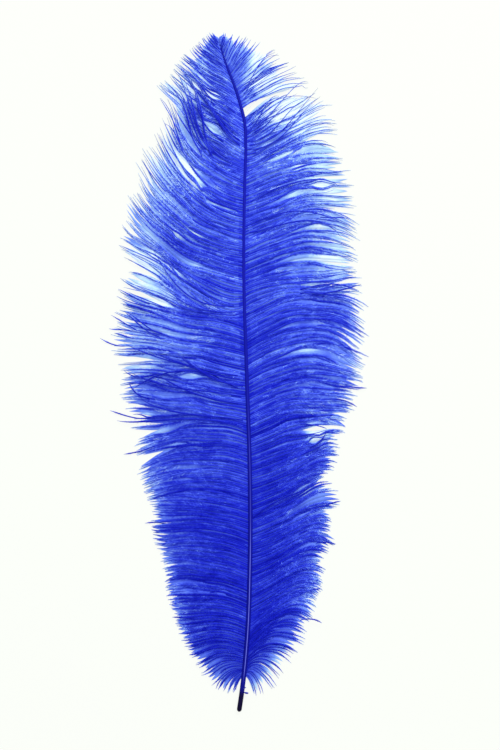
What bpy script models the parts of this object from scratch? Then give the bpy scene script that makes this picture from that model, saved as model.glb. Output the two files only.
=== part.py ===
"""An ostrich feather that lies on a flat surface, as one solid.

It is seen from above with its quill towards -Y: X runs to the right, Y from the quill to the tip and
Z up. The quill goes over into the shaft, and a vane grows on each side of it. The barbs of a vane hang
together in locks, which are joined near the shaft and part towards their tips.

Lengths are in millimetres and angles in degrees; the finished mesh is in metres.
"""

from math import cos, pi, radians, sin

import bmesh
import bpy
import numpy as np

MM = 0.001
LEFT, RIGHT = -1, 1

# Shaft: distance along Y from the quill's end, and the shaft's middle to the right of the quill's end.
SHAFT_LINE = (
    (0.0, 0.0),
    (12.6, 1.8),
    (42.6, 4.8),
    (89.4, 6.6),
    (145.0, 6.5),
    (198.0, 4.8),
    (262.0, 2.9),
    (322.0, 3.6),
    (340.0, 4.1),
    (353.0, 3.4),
    (369.0, -0.7),
    (391.8, -9.0),
    (402.0, -12.2),
)
# Distance along the shaft, its radius, and the height of its middle above the surface.
SHAFT_GIRTH = (
    (0.0, 1.45, 1.45),
    (25.0, 1.45, 2.6),
    (100.0, 1.35, 5.0),
    (210.0, 1.2, 6.0),
    (320.0, 1.0, 5.0),
    (380.0, 0.7, 3.0),
    (402.0, 0.35, 1.8),
)
SHAFT_SIDES = 8
DIRECTION_STEP = 0.5  # how far before and after a place the shaft's direction is taken
QUILL_ROUND = 3  # rings that round off the quill's end
QUILL_FLAT = 0.6  # how far the smallest of them is from the very end, in steps between them
QUILL_RINGS = 4  # rings of the bare quill

# Vanes: place on the shaft where a barb grows, how far out and how far up its tip lies from there, and
# its slope to the crosswise direction where it leaves the shaft and at its tip.
BARBS = {
    LEFT: (
        (21.6, 4.8, -10.2, -52.0, -74.0),
        (23.4, 11.5, -12.6, -30.0, -66.0),
        (25.2, 18.4, -12.0, -12.0, -52.0),
        (28.2, 25.3, -7.8, 0.0, -30.0),
        (36.6, 36.0, -1.2, 12.0, -16.0),
        (49.2, 43.5, 3.0, 16.0, -7.0),
        (63.6, 48.6, 4.2, 17.0, -7.0),
        (85.2, 53.4, 7.8, 17.0, 0.0),
        (106.8, 58.8, 6.6, 15.0, -2.0),
        (125.4, 63.0, 5.4, 15.0, -5.0),
        (147.6, 66.0, 4.8, 14.0, 1.0),
        (171.6, 72.4, 7.2, 12.0, -1.0),
        (186.0, 76.0, 7.8, 10.0, 0.0),
        (202.8, 79.6, 12.0, 12.0, 4.0),
        (220.2, 80.6, 17.4, 13.0, 14.0),
        (234.0, 74.0, 25.0, 14.0, 22.0),
        (244.0, 73.0, 39.0, 17.0, 34.0),
        (261.6, 70.5, 43.0, 16.0, 45.0),
        (274.8, 62.4, 44.4, 16.0, 52.0),
        (290.0, 56.5, 47.0, 18.0, 56.0),
        (306.6, 48.0, 46.0, 18.0, 62.0),
        (324.6, 45.0, 45.6, 20.0, 60.0),
        (338.0, 47.0, 40.5, 26.0, 50.0),
        (350.4, 42.3, 33.6, 32.0, 43.0),
        (364.2, 36.6, 25.8, 33.0, 40.0),
        (377.4, 27.0, 18.6, 33.0, 43.0),
        (388.2, 17.4, 14.0, 38.0, 46.0),
        (399.5, 5.0, 9.0, 60.0, 60.0),
    ),
    RIGHT: (
        (21.0, 4.6, -13.2, -30.0, -84.0),
        (22.2, 9.2, -12.6, 4.0, -74.0),
        (23.4, 18.0, -9.6, 22.0, -54.0),
        (25.2, 21.4, -3.6, 32.0, -44.0),
        (30.6, 29.0, 2.4, 38.0, -32.0),
        (41.0, 34.8, 7.8, 38.0, -18.0),
        (53.4, 40.2, 13.2, 33.0, -16.0),
        (67.8, 44.0, 13.8, 30.0, -12.0),
        (88.8, 51.0, 12.6, 24.0, -24.0),
        (102.0, 47.4, 16.2, 23.0, 2.0),
        (122.0, 43.8, 19.2, 24.0, 12.0),
        (138.0, 52.8, 15.6, 21.0, 3.0),
        (148.0, 50.0, 13.0, 19.0, 4.0),
        (161.4, 58.2, 9.0, 21.0, -12.0),
        (175.2, 61.6, 6.6, 23.0, -18.0),
        (190.0, 64.0, 7.2, 24.0, -11.0),
        (204.0, 66.2, 3.6, 29.0, -24.0),
        (218.4, 67.8, 3.0, 31.0, -29.0),
        (233.0, 70.2, 3.6, 28.0, -24.0),
        (244.8, 69.6, 10.8, 20.0, 2.0),
        (264.6, 67.6, 6.0, 22.0, -13.0),
        (282.6, 65.4, 6.6, 28.0, -26.0),
        (294.0, 65.1, 14.4, 21.0, 0.0),
        (312.6, 59.0, 15.0, 23.0, 2.0),
        (330.0, 53.4, 18.9, 26.0, 7.0),
        (347.4, 42.3, 25.2, 36.0, 28.0),
        (362.0, 39.6, 15.0, 34.0, 9.0),
        (377.0, 24.0, 20.4, 46.0, 36.0),
        (386.0, 10.8, 19.6, 58.0, 66.0),
        (399.5, 1.4, 8.4, 78.0, 84.0),
    ),
}
BARB_HANDLE = 0.39  # length of a barb's end directions, as a share of its reach
LOCKS_A_SIDE = 35
LOCK_STEPS = 11
SPREAD_AT = 0.6  # share of a barb's length at which the locks are spaced evenly
SPREAD_SAMPLES = 600
# Where a vane parts more deeply than between two other locks: place on the shaft, and how much of the
# barbs' length is still joined there.
USUAL_PARTING = 0.7
DEEP_PARTINGS = {
    LEFT: ((296.0, 0.5), (241.0, 0.45), (201.0, 0.45), (153.0, 0.55)),
    RIGHT: ((357.0, 0.12), (286.0, 0.5), (248.0, 0.5), (156.0, 0.4), (119.0, 0.5)),
}
PARTING_REACH = 6.0  # a deep parting takes the lock edge that lies nearest, within this distance
TIP_WIDTH = 0.15  # of the width that the lock would have if it were still joined
TIP_TAPER = 1.5  # 1 tapers evenly, more keeps a lock wide until close to its tip
TIP_SWAY = 1.3
TIP_LIFT = 1.6
TIP_REACH = 0.03  # how much longer or shorter than its neighbours a lock may be, as a share of its length
# Locks that reach out past the others: place on the shaft, and how much longer they are.
LONG_LOCKS = {
    LEFT: ((211.0, 0.08), (262.0, 0.06), (150.0, 0.05)),
    RIGHT: ((206.0, 0.085), (244.0, 0.055), (122.0, 0.05)),
}
# Strides that scatter these values over the locks.
SWAY_STRIDE = 0.618
LIFT_STRIDE = 0.381
SWELL_STRIDE = 0.725
REACH_STRIDE = 0.463

# Thickness of a vane: along the middle of a lock, between locks and at a free edge.
RIDGE_THICKNESS = 3.5
SEAM_THICKNESS = 1.0
EDGE_THICKNESS = 0.7
ROOT_STRETCH = 0.35  # share of a barb's length over which the vane swells from the shaft's side
VANE_CROWN = 2.8  # how much a vane arches up between the shaft and its tips
CROWN_LEAN = 0.4  # how much of that arch is lost towards the tips
LOCK_SWELL = 1.1  # how much higher or lower than its neighbours a lock may lie

FEATHER_BLUE = (0.03, 0.05, 0.62, 1.0)
FEATHER_ROUGHNESS = 0.7
SHARP_ANGLE = 50.0


def between(rows, place):
    """The values of a table's columns at a place between its rows, on a smooth curve."""
    table = np.array(rows)
    places = table[:, 0]
    slopes = np.gradient(table, places, axis=0)
    i = int(np.clip(np.searchsorted(places, place) - 1, 0, len(places) - 2))
    gap = places[i + 1] - places[i]
    t = float(np.clip((place - places[i]) / gap, 0.0, 1.0))
    start = table[i] * (1 + 2 * t) + slopes[i] * gap * t
    end = table[i + 1] * (3 - 2 * t) - slopes[i + 1] * gap * (1 - t)
    return (start * (1 - t) ** 2 + end * t**2)[1:]


def shaft_middle(place):
    return np.array((between(SHAFT_LINE, place)[0], place))


def shaft_right(place):
    """The direction across the shaft, to its right."""
    step = shaft_middle(place + DIRECTION_STEP) - shaft_middle(place - DIRECTION_STEP)
    return np.array((step[1], -step[0])) / np.hypot(*step)


def shaft_ring(mesh, place, slim=1.0, shift=0.0):
    """A ring of points round the shaft, the two on each side standing one above the other."""
    radius, height = between(SHAFT_GIRTH, place)
    middle = shaft_middle(place) + np.array((0.0, shift))
    right = shaft_right(place)
    ring = []
    for corner in range(SHAFT_SIDES):
        turn = 2 * pi * (corner + 0.5) / SHAFT_SIDES
        point = middle + right * radius * slim * cos(turn)
        ring.append(mesh.verts.new((*point, height + radius * slim * sin(turn))))
    return ring


def side_pair(ring, side):
    """The upper and the lower point of a ring on one side, between which a vane grows."""
    half = SHAFT_SIDES // 2
    return (ring[0], ring[-1]) if side == RIGHT else (ring[half - 1], ring[half])


def slope(side, angle):
    return np.array((side * cos(radians(angle)), sin(radians(angle))))


def barb_point(side, place, t):
    """The point at a share t of a barb's length, seen from above."""
    out, up, leave, end = between(BARBS[side], place)
    radius = between(SHAFT_GIRTH, place)[0]
    middle = shaft_middle(place)
    root = middle + shaft_right(place) * side * radius * cos(pi / SHAFT_SIDES)
    tip = middle + np.array((side * out, up))
    handle = BARB_HANDLE * np.hypot(*(tip - root))
    first = root + handle * slope(side, leave)
    second = tip - handle * slope(side, end)
    s = 1 - t
    return root * s**3 + first * 3 * s**2 * t + second * 3 * s * t**2 + tip * t**3


def barb_height(place, t):
    """The height of a vane's middle layer at a share t of a barb's length; the tips lie on the surface."""
    height = between(SHAFT_GIRTH, place)[1]
    arch = VANE_CROWN * 4 * t * (1 - t) * (1 - CROWN_LEAN * t)
    return height * (1 - t) + EDGE_THICKNESS / 2 * t + arch


def thickness(place, t, full):
    """A vane's thickness: the shaft's side at the root, then full, then thin at the tip."""
    root = 2 * between(SHAFT_GIRTH, place)[0] * sin(pi / SHAFT_SIDES)
    swell = min(1.0, t / ROOT_STRETCH)
    return root + (full - root) * swell + (EDGE_THICKNESS - full) * t**2


def lock_places():
    """Places on the shaft where locks start, spaced evenly along the middles of the two vanes."""
    first = max(rows[0][0] for rows in BARBS.values())
    last = min(rows[-1][0] for rows in BARBS.values())
    places = np.linspace(first, last, SPREAD_SAMPLES)
    way = np.zeros(len(places))
    for side in (LEFT, RIGHT):
        middles = np.array([barb_point(side, place, SPREAD_AT) for place in places])
        way[1:] += np.cumsum(np.hypot(*np.diff(middles, axis=0).T))
    return np.interp(np.linspace(0, way[-1], 2 * LOCKS_A_SIDE + 1), way, places)


def parting_steps(side, places):
    """For each seam between two locks, the number of steps over which they are joined."""
    steps = [round(USUAL_PARTING * LOCK_STEPS)] * len(places)
    for place, joined in DEEP_PARTINGS[side]:
        nearest = int(np.argmin(np.abs(places - place)))
        if abs(places[nearest] - place) < PARTING_REACH:
            steps[nearest] = max(1, round(joined * LOCK_STEPS))
    steps[0] = steps[-1] = 0
    return steps


def scatter(number, stride):
    """An even spread of values from -1 to 1, which follow no order from one lock to the next."""
    return 2 * ((number * stride) % 1.0) - 1


def extra_reach(side, number, places):
    """How much further than its barbs a lock reaches, as a share of its length."""
    middles = places[1::2]
    extra = TIP_REACH * scatter(number, REACH_STRIDE)
    for place, longer in LONG_LOCKS[side]:
        if number == int(np.argmin(np.abs(middles - place))):
            extra = longer
    return extra


def freedom(step, joined):
    """How far along its free part a step of a lock lies: 0 where it parts, 1 at the tip."""
    return max(0.0, (step - joined) / (LOCK_STEPS - joined))


def pair(mesh, point, height, thick):
    """A point of the upper face and the one under it."""
    return tuple(mesh.verts.new((*point, height + half)) for half in (thick / 2, -thick / 2))


def seam(mesh, side, place, joined, root):
    """The joined part of the edge between two locks."""
    points = [root]
    for step in range(1, joined + 1):
        t = step / LOCK_STEPS
        point = barb_point(side, place, t)
        points.append(pair(mesh, point, barb_height(place, t), thickness(place, t, SEAM_THICKNESS)))
    return points


def lock_columns(mesh, side, number, places, joined, seams, root):
    """The two edges and the middle of one lock, from the shaft to the tip."""
    middle = places[2 * number + 1]
    part = max(LOCK_STEPS // 2, min(joined[number : number + 2]))
    sway = TIP_SWAY * scatter(number, SWAY_STRIDE)
    lift = TIP_LIFT * (0.5 + 0.5 * scatter(number, LIFT_STRIDE))
    swell = LOCK_SWELL * scatter(number + LOCKS_A_SIDE, SWELL_STRIDE)
    extra = extra_reach(side, number, places)
    columns = [list(seams[number]), [root], list(seams[number + 1])]
    for step in range(1, LOCK_STEPS + 1):
        t = step / LOCK_STEPS
        free = freedom(step, part) ** 2
        shift = np.array((0.0, sway * free))
        far = t + extra * free
        centre = barb_point(side, middle, far) + shift
        ridge = barb_height(middle, t) + lift * free + swell * sin(pi * t)
        columns[1].append(pair(mesh, centre, ridge, thickness(middle, t, RIDGE_THICKNESS)))
        for column, edge in ((0, number), (2, number + 1)):
            if step <= joined[edge]:
                continue
            place = places[2 * edge]
            narrow = (1 - TIP_WIDTH) * freedom(step, joined[edge]) ** TIP_TAPER
            border = barb_point(side, place, far) + shift
            low = barb_height(place, t) + lift * free
            height = low + (ridge - low) * narrow
            point = border + (centre - border) * narrow
            columns[column].append(pair(mesh, point, height, thickness(place, t, SEAM_THICKNESS)))
    return columns


def close_lock(mesh, columns, joined):
    """The faces of one lock: upper and lower skin, the walls of its free edges, and its blunt tip."""
    for a, b in zip(columns, columns[1:]):
        for step in range(LOCK_STEPS):
            for layer in (0, 1):
                mesh.faces.new((a[step][layer], a[step + 1][layer], b[step + 1][layer], b[step][layer]))
        mesh.faces.new((a[-1][0], a[-1][1], b[-1][1], b[-1][0]))
    for edge, steps in zip((columns[0], columns[2]), joined):
        for step in range(steps, LOCK_STEPS):
            mesh.faces.new((*edge[step], edge[step + 1][1], edge[step + 1][0]))


def vane(mesh, side, places, rings):
    joined = parting_steps(side, places[::2])
    seams = []
    for number, steps in enumerate(joined):
        root = side_pair(rings[2 * number], side)
        seams.append(seam(mesh, side, places[2 * number], steps, root))
    for number in range(LOCKS_A_SIDE):
        root = side_pair(rings[2 * number + 1], side)
        columns = lock_columns(mesh, side, number, places, joined, seams, root)
        close_lock(mesh, columns, joined[number : number + 2])


def quill_rings(mesh, first_lock):
    """Rings of the bare quill, from its rounded end to the first lock."""
    radius = SHAFT_GIRTH[0][1]
    rings = []
    for number in range(QUILL_ROUND):
        turn = pi / 2 * (number + QUILL_FLAT) / (QUILL_ROUND + QUILL_FLAT)
        rings.append(shaft_ring(mesh, 0.0, slim=sin(turn), shift=radius * (1 - cos(turn))))
    for number in range(QUILL_RINGS):
        rings.append(shaft_ring(mesh, radius + (first_lock - radius) * number / QUILL_RINGS))
    return rings


def join_rings(mesh, rings, vanes):
    """The skin of the shaft, left open on both sides where the vanes grow."""
    half = SHAFT_SIDES // 2
    for a, b in zip(rings, rings[1:]):
        for corner in range(SHAFT_SIDES):
            if vanes and corner in (half - 1, SHAFT_SIDES - 1):
                continue
            after = (corner + 1) % SHAFT_SIDES
            mesh.faces.new((a[corner], a[after], b[after], b[corner]))


def stand_on_origin(mesh):
    """Put the middle of the box's underside at the origin, and go over to metres."""
    points = np.array([vert.co for vert in mesh.verts])
    low, high = points.min(axis=0), points.max(axis=0)
    base = np.array((*(low + high)[:2] / 2, low[2]))
    for vert in mesh.verts:
        vert.co = (np.array(vert.co) - base) * MM


def dyed_blue():
    material = bpy.data.materials.new("dyed_blue")
    material.use_nodes = True
    shader = material.node_tree.nodes["Principled BSDF"]
    shader.inputs["Base Color"].default_value = FEATHER_BLUE
    shader.inputs["Roughness"].default_value = FEATHER_ROUGHNESS
    shader.inputs["Metallic"].default_value = 0.0
    material.diffuse_color = FEATHER_BLUE
    return material


def feather():
    mesh = bmesh.new()
    places = lock_places()
    bare = quill_rings(mesh, places[0])
    rings = [shaft_ring(mesh, place) for place in places]
    mesh.faces.new(bare[0])
    join_rings(mesh, bare + rings[:1], vanes=False)
    join_rings(mesh, rings, vanes=True)
    mesh.faces.new(rings[-1])
    for side in (LEFT, RIGHT):
        vane(mesh, side, places, rings)
    stand_on_origin(mesh)
    bmesh.ops.recalc_face_normals(mesh, faces=mesh.faces)
    data = bpy.data.meshes.new("feather")
    mesh.to_mesh(data)
    mesh.free()
    data.materials.append(dyed_blue())
    data.shade_smooth()
    data.set_sharp_from_angle(angle=radians(SHARP_ANGLE))
    piece = bpy.data.objects.new("feather", data)
    bpy.context.scene.collection.objects.link(piece)


for old in list(bpy.data.objects):
    bpy.data.objects.remove(old)
feather()
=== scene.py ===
"""The looks of an ostrich feather, dyed blue, that lies on a white table.

The feather is seen from above with its quill towards -Y. A barb is a tapered thread that leaves the shaft
and ends at the vane's edge; its down is a fringe of short hairs along both of its sides. Lengths are in
millimetres from the quill's end, X to the right and Y towards the tip, until a mesh is finished in metres.
"""

from math import cos, pi, radians, sin, tau

import bpy
import numpy as np
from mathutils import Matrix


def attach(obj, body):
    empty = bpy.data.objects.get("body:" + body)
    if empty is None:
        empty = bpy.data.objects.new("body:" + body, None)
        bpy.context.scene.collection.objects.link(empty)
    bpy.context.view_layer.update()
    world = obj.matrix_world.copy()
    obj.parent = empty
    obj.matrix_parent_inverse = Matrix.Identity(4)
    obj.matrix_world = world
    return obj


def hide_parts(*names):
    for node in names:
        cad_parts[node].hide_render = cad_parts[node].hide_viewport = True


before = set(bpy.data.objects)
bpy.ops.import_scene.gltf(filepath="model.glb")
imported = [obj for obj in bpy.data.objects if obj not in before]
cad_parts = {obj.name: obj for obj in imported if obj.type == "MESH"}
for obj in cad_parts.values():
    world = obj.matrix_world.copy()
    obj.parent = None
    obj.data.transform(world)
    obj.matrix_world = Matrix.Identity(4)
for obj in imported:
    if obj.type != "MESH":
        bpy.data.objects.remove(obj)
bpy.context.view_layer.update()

MM = 0.001
LEFT, RIGHT = -1, 1
SIDES = {LEFT: "left", RIGHT: "right"}
UV_MAP = "OFBake"

# ------------------------------------------------------------------ the feather's place

# The picture is 500 points wide and 750 high. One of them is 0.6 mm on the feather.
PICTURE = (500, 750)
PICTURE_POINT = 0.6
QUILL_END = (239.0, 711.5)
QUILL_END_DEPTH = 0.5  # how much of the quill's end tells where it lies across

# The shaft's middle: distance along Y from the quill's end, and how far it lies to the right.
SHAFT_LINE = (
    (0.0, 0.0),
    (12.6, 1.8),
    (42.6, 4.8),
    (89.4, 6.6),
    (145.0, 6.5),
    (198.0, 4.8),
    (262.0, 2.9),
    (322.0, 3.6),
    (340.0, 4.1),
    (353.0, 3.4),
    (369.0, -0.7),
    (391.8, -9.0),
    (402.0, -12.2),
)
# Distance along the shaft, its radius, and the height of its middle above the table.
SHAFT_GIRTH = (
    (0.0, 1.45, 1.45),
    (25.0, 1.45, 2.6),
    (100.0, 1.35, 5.0),
    (210.0, 1.2, 6.0),
    (320.0, 1.0, 5.0),
    (380.0, 0.8, 3.0),
    (402.0, 0.4, 1.8),
)

# Guide barbs, read from the picture: the row of the root, then across and down at one third and at two
# thirds of the length and at the tip.
LEFT_GUIDES = (
    (43, 217.6, 41, 216.2, 38, 214.5, 34.5), (46, 216, 41, 213, 36.5, 210, 32),
    (57, 216, 50.5, 209, 44, 204, 37), (64, 216, 57, 205, 50, 197, 43), (73, 217, 64, 204, 55.5, 195, 46),
    (82, 216, 71, 200, 62, 188, 51), (92, 217, 79, 198, 68, 183, 56), (104, 218, 90, 197, 76, 179, 61),
    (115, 221, 101, 198, 84, 178, 65), (127, 221, 112, 197, 92, 174, 71), (140, 220, 123, 194, 102, 170, 77),
    (153, 219, 136, 190, 112, 164, 82.5), (170, 218, 159, 197, 140, 172, 92),
    (185, 216, 171, 192, 148, 172, 104), (200, 214, 188, 188, 163, 165, 124),
    (215, 212, 202, 183, 175, 160, 136), (228, 211, 216, 180, 190, 150, 149),
    (241, 210, 230, 176, 205, 141, 159), (253, 208, 244, 172, 222, 139.5, 179),
    (264, 207, 255, 170, 235, 134, 195), (275, 206, 264, 168, 244, 126, 203),
    (286, 206, 275, 168, 255, 125, 215), (295, 206, 284, 169, 257, 130, 229),
    (303, 204, 293, 160, 259, 122, 237), (314, 205, 307, 163, 272, 121, 247),
    (318, 203, 308.5, 163, 280, 131, 256), (320, 202, 310, 158, 285, 129, 274),
    (322, 203, 311.5, 158, 297, 122, 279), (326, 203, 315, 160, 306, 118, 289),
    (331, 204, 320, 162, 314.5, 122, 302.5), (338, 205, 327, 160, 318, 123, 311),
    (344, 204, 334, 158, 327, 112, 315), (351, 203, 342, 157, 335, 115, 324),
    (358, 202, 349, 157, 342, 113, 337), (365, 202, 356, 158, 349, 118, 344),
    (373, 203, 363, 160, 354, 114, 351), (380, 205, 373, 163, 368, 121, 366),
    (387, 205, 380, 163, 374, 125, 370), (401, 205, 394, 163, 388, 121, 388),
    (417, 206, 409, 165, 405, 125, 403), (425, 207, 416, 166, 412, 128, 413),
    (431, 208, 422, 171, 429, 138, 442), (441, 208, 433, 172, 437, 135, 449),
    (449, 208, 441, 173, 444, 139, 455), (455, 209, 447, 174, 453, 140, 466),
    (463, 211, 455, 175, 460, 139, 472), (471, 212, 463, 176, 467, 141, 478),
    (482, 213, 474, 177, 476, 145, 485), (502, 213, 493, 179, 491, 147, 496),
    (522, 213, 513, 180, 511, 154, 511), (533, 213, 523, 179, 521, 152, 522),
    (545, 213, 534, 179, 533, 153, 532), (569, 214, 558, 184, 556, 161, 556),
    (581, 215, 570, 187, 568, 165, 572), (605, 216, 595, 190, 595, 168, 598),
    (629, 217, 620, 194, 622, 176, 624), (650, 219, 644, 202, 648, 187, 652),
    (658, 222, 654, 208, 660, 197, 666), (664, 226, 664, 214, 671, 203, 677),
    (669, 230, 672, 221, 680, 214, 689), (672, 235, 676, 229, 684, 225, 693),
    (675, 240, 680, 238, 686, 236, 692),
)
RIGHT_GUIDES = (
    (44, 219.8, 40, 220.4, 36.5, 221, 33), (52, 224.5, 45, 227.5, 39, 230, 33),
    (60, 229, 52, 233, 44, 237, 37), (68, 234, 58, 240, 47, 246, 37), (75, 241, 62, 250, 53, 259, 42.5),
    (83, 248, 70, 261, 58, 274, 49), (92, 254, 78, 270, 67, 285, 59), (101, 257, 89, 277, 78, 296, 70),
    (108, 262, 96, 285, 87, 308, 83), (124, 258, 111, 270, 101, 283, 95), (132, 270, 117, 292, 103, 317, 90),
    (140, 270, 126, 295, 112, 321, 98), (147, 272, 136, 298, 123, 329, 113),
    (155, 272, 146, 300, 131, 334, 126.5), (163, 272, 153, 302, 139, 336, 131.5),
    (171, 274, 158, 303, 147, 328, 148), (180, 275, 167, 308, 157, 343, 153.5),
    (190, 276, 177, 310, 166, 345, 165), (200, 276, 188, 311, 177, 348, 176),
    (210, 277, 198, 312, 187, 352, 187), (221, 277, 208, 314, 198, 354, 197),
    (231, 277, 217, 314, 206, 356, 207), (240, 276, 225, 310, 213, 354, 229),
    (250, 277, 236, 315, 228, 355, 239), (260, 278, 247, 315, 240, 356, 250),
    (270, 278, 257, 315, 251, 357, 260), (282, 278, 270, 315, 265, 354, 268),
    (293, 278, 283, 316, 279, 355, 276), (303, 278, 291, 316, 288, 360, 285),
    (313, 278, 299, 316, 294, 360, 308), (323, 279, 308, 318, 303, 362, 317),
    (335, 280, 318, 318, 313, 362, 331), (347, 281, 329, 318, 325, 363, 343),
    (359, 282, 342, 318, 337, 361, 356), (371, 283, 353, 318, 350, 361, 366),
    (383, 284, 367, 320, 363, 361, 373), (395, 285, 380, 320, 376, 360, 384),
    (407, 285, 392, 320, 389, 354, 397), (419, 286, 404, 320, 401, 353, 409),
    (431, 286, 416, 318, 411, 347, 417), (442, 287, 427, 318, 420, 346, 427),
    (453, 287, 439, 316, 432, 344, 434), (464, 287, 451, 314, 443, 330, 443),
    (475, 288, 461, 314, 450, 338, 450), (486, 288, 472, 314, 460, 338, 459),
    (497, 287, 482, 311, 471, 332, 468), (508, 284, 494, 305, 482, 323, 476),
    (519, 285, 504, 308, 493, 332, 487), (530, 285, 515, 310, 504, 341, 501),
    (541, 285, 527, 309, 516, 329, 514), (552, 285, 538, 309, 525, 333, 525),
    (563, 285, 548, 309, 535, 335, 542), (574, 285, 558, 308, 547, 328, 550),
    (586, 283, 569, 304, 558, 321, 560), (598, 281, 581, 303, 571, 323, 575),
    (610, 279, 593, 302, 584, 322, 588), (622, 277, 604, 298, 595, 316, 600),
    (633, 274, 614, 294, 606, 313, 613), (643, 270, 627, 288, 622, 306, 630),
    (652, 267, 637, 284, 635, 303, 643), (660, 263, 648, 279, 647, 295, 656),
    (669, 257, 660, 270, 664, 281, 675), (672, 254, 667, 264, 674, 275, 688),
    (674, 251, 673, 257, 682, 260, 695), (676, 248, 678, 251, 687, 252, 698),
)
GUIDES = {LEFT: LEFT_GUIDES, RIGHT: RIGHT_GUIDES}
# Where a vane parts: the row of the guide barb just above, and the share of the length that still hangs
# together.
PARTINGS = {
    LEFT: {303: 0.8, 318: 0.5, 322: 0.5, 373: 0.55, 417: 0.6, 449: 0.7, 153: 0.6},
    RIGHT: {108: 0.0, 231: 0.66, 293: 0.6, 442: 0.4, 508: 0.75, 163: 0.5},
}
# Darker and lighter patches, where the vanes lie thicker or thinner: across, down, half width, half height
# and how much the tone changes.
PATCHES = (
    (215, 643, 34, 16, -0.12), (265, 635, 18, 14, -0.06), (198, 108, 18, 30, -0.06),
    (180, 258, 18, 22, -0.1), (165, 415, 30, 10, -0.06), (174, 250, 13, 15, -0.08),
    (272, 634, 20, 16, -0.06), (218, 440, 45, 80, 0.03), (270, 560, 10, 7, -0.07), (283, 553, 10, 7, -0.08),
    (297, 545, 10, 7, -0.07), (278, 621, 11, 8, -0.06), (290, 612, 10, 8, -0.06), (184, 575, 18, 14, -0.05),
    (200, 520, 22, 10, -0.04), (268, 150, 25, 40, 0.08), (150, 212, 16, 20, -0.05), (325, 385, 20, 30, 0.03),
    (322, 375, 25, 45, 0.04), (195, 165, 20, 40, 0.09), (165, 200, 20, 60, 0.03), (262, 100, 28, 30, 0.06),
    (215, 400, 30, 60, 0.03), (160, 420, 34, 60, 0.035), (158, 310, 25, 40, 0.04), (308, 590, 12, 50, 0.08),
    (305, 300, 14, 10, -0.04), (325, 308, 18, 10, -0.05), (334, 165, 14, 40, -0.06),
    (158, 290, 22, 40, 0.08), (325, 255, 22, 40, 0.04), (310, 620, 20, 60, 0.04),
)
# Where no barb grows, and where the barbs are short: the row of the guide barb above, and from which to
# which share of the way to the next one.
BARE = {LEFT: {}, RIGHT: {108: (0.05, 0.75)}}
SHORT = {
    LEFT: {650: (0.5, 0.75), 658: (0.3, 0.6), 664: (0.35, 0.6), 669: (0.4, 0.65)},
    RIGHT: {
        622: (0.6, 0.8), 633: (0.5, 0.75), 643: (0.35, 0.65), 652: (0.2, 0.5),
        660: (0.35, 0.65), 669: (0.3, 0.6), 672: (0.4, 0.7),
    },
}
# Patches where the barbs stand apart and the finest down under them is nearly white: across, down, half
# width, half height and how far this goes.
CLEARINGS = (
    (290, 98, 28, 16, 1.0), (272, 118, 16, 8, 0.6), (268, 56, 12, 9, 0.9), (262, 84, 18, 12, 0.7),
    (252, 66, 10, 9, 0.5), (300, 120, 28, 14, 0.3), (318, 168, 20, 12, 0.25), (284, 76, 16, 9, 0.8),
    (206, 80, 10, 12, 0.5), (212, 97, 9, 8, 0.7), (312, 128, 22, 14, 0.6), (332, 152, 16, 14, 0.3),
    (188, 92, 16, 12, 0.6), (166, 118, 10, 16, 0.8), (160, 140, 10, 14, 0.7), (150, 168, 12, 16, 0.6),
    (188, 165, 10, 18, 0.5), (140, 260, 18, 9, 1.0), (152, 273, 14, 6, 0.6), (136, 288, 18, 6, 0.7),
    (163, 300, 14, 6, 0.7), (330, 196, 18, 12, 0.5), (335, 258, 16, 20, 0.6), (150, 335, 24, 10, 0.35),
    (140, 365, 24, 10, 0.5), (136, 362, 16, 5, 0.6), (318, 432, 11, 11, 0.9), (310, 492, 20, 10, 0.35),
    (288, 670, 18, 10, 0.6), (264, 686, 14, 10, 0.5),
)

# Eye-shaped openings in a vane, read from the picture: across, down, the slope of the long way in degrees
# (up to the right is above 0), half the length and half the width.
OPENINGS = (
    (195.5, 86.5, -52, 5, 2.0), (214, 96.5, -30, 9, 2.0), (214, 130, -42, 14, 4.0), (188, 169, -58, 27, 3.0),
    (176, 163, -55, 21, 2.2), (221, 207, -12, 16, 2.0), (196, 234, -35, 11, 2.5), (178, 236, -40, 9, 2.5),
    (179, 274, -49, 14, 2.4), (163, 303, -28, 12, 2.4), (191, 263, -35, 8, 2.4), (157, 256, -62, 8, 3.0),
    (190, 376, 2, 17, 4.0), (149, 415, -5, 10, 2.5), (164, 431, 16, 14, 2.2), (177, 444, 14, 12, 1.8),
    (287, 91, 20, 16, 3.5), (289, 111, 25, 8, 3.0), (282, 156, 22, 20, 2.5), (296, 168, 18, 11, 2.5),
    (322, 185, 4, 13, 4.0), (295, 194, 18, 12, 2.5), (318, 227, 0, 15, 3.0), (300, 260, 10, 20, 2.5),
    (325, 260, 0, 8, 2.5), (315, 285, 0, 17, 2.5), (305, 351, 0, 17, 2.2), (315, 430, 0, 11, 4.5),
    (314, 441, 12, 9, 4.0), (303, 490, 32, 20, 3.0), (302, 515, 15, 9, 2.0),
)

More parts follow.
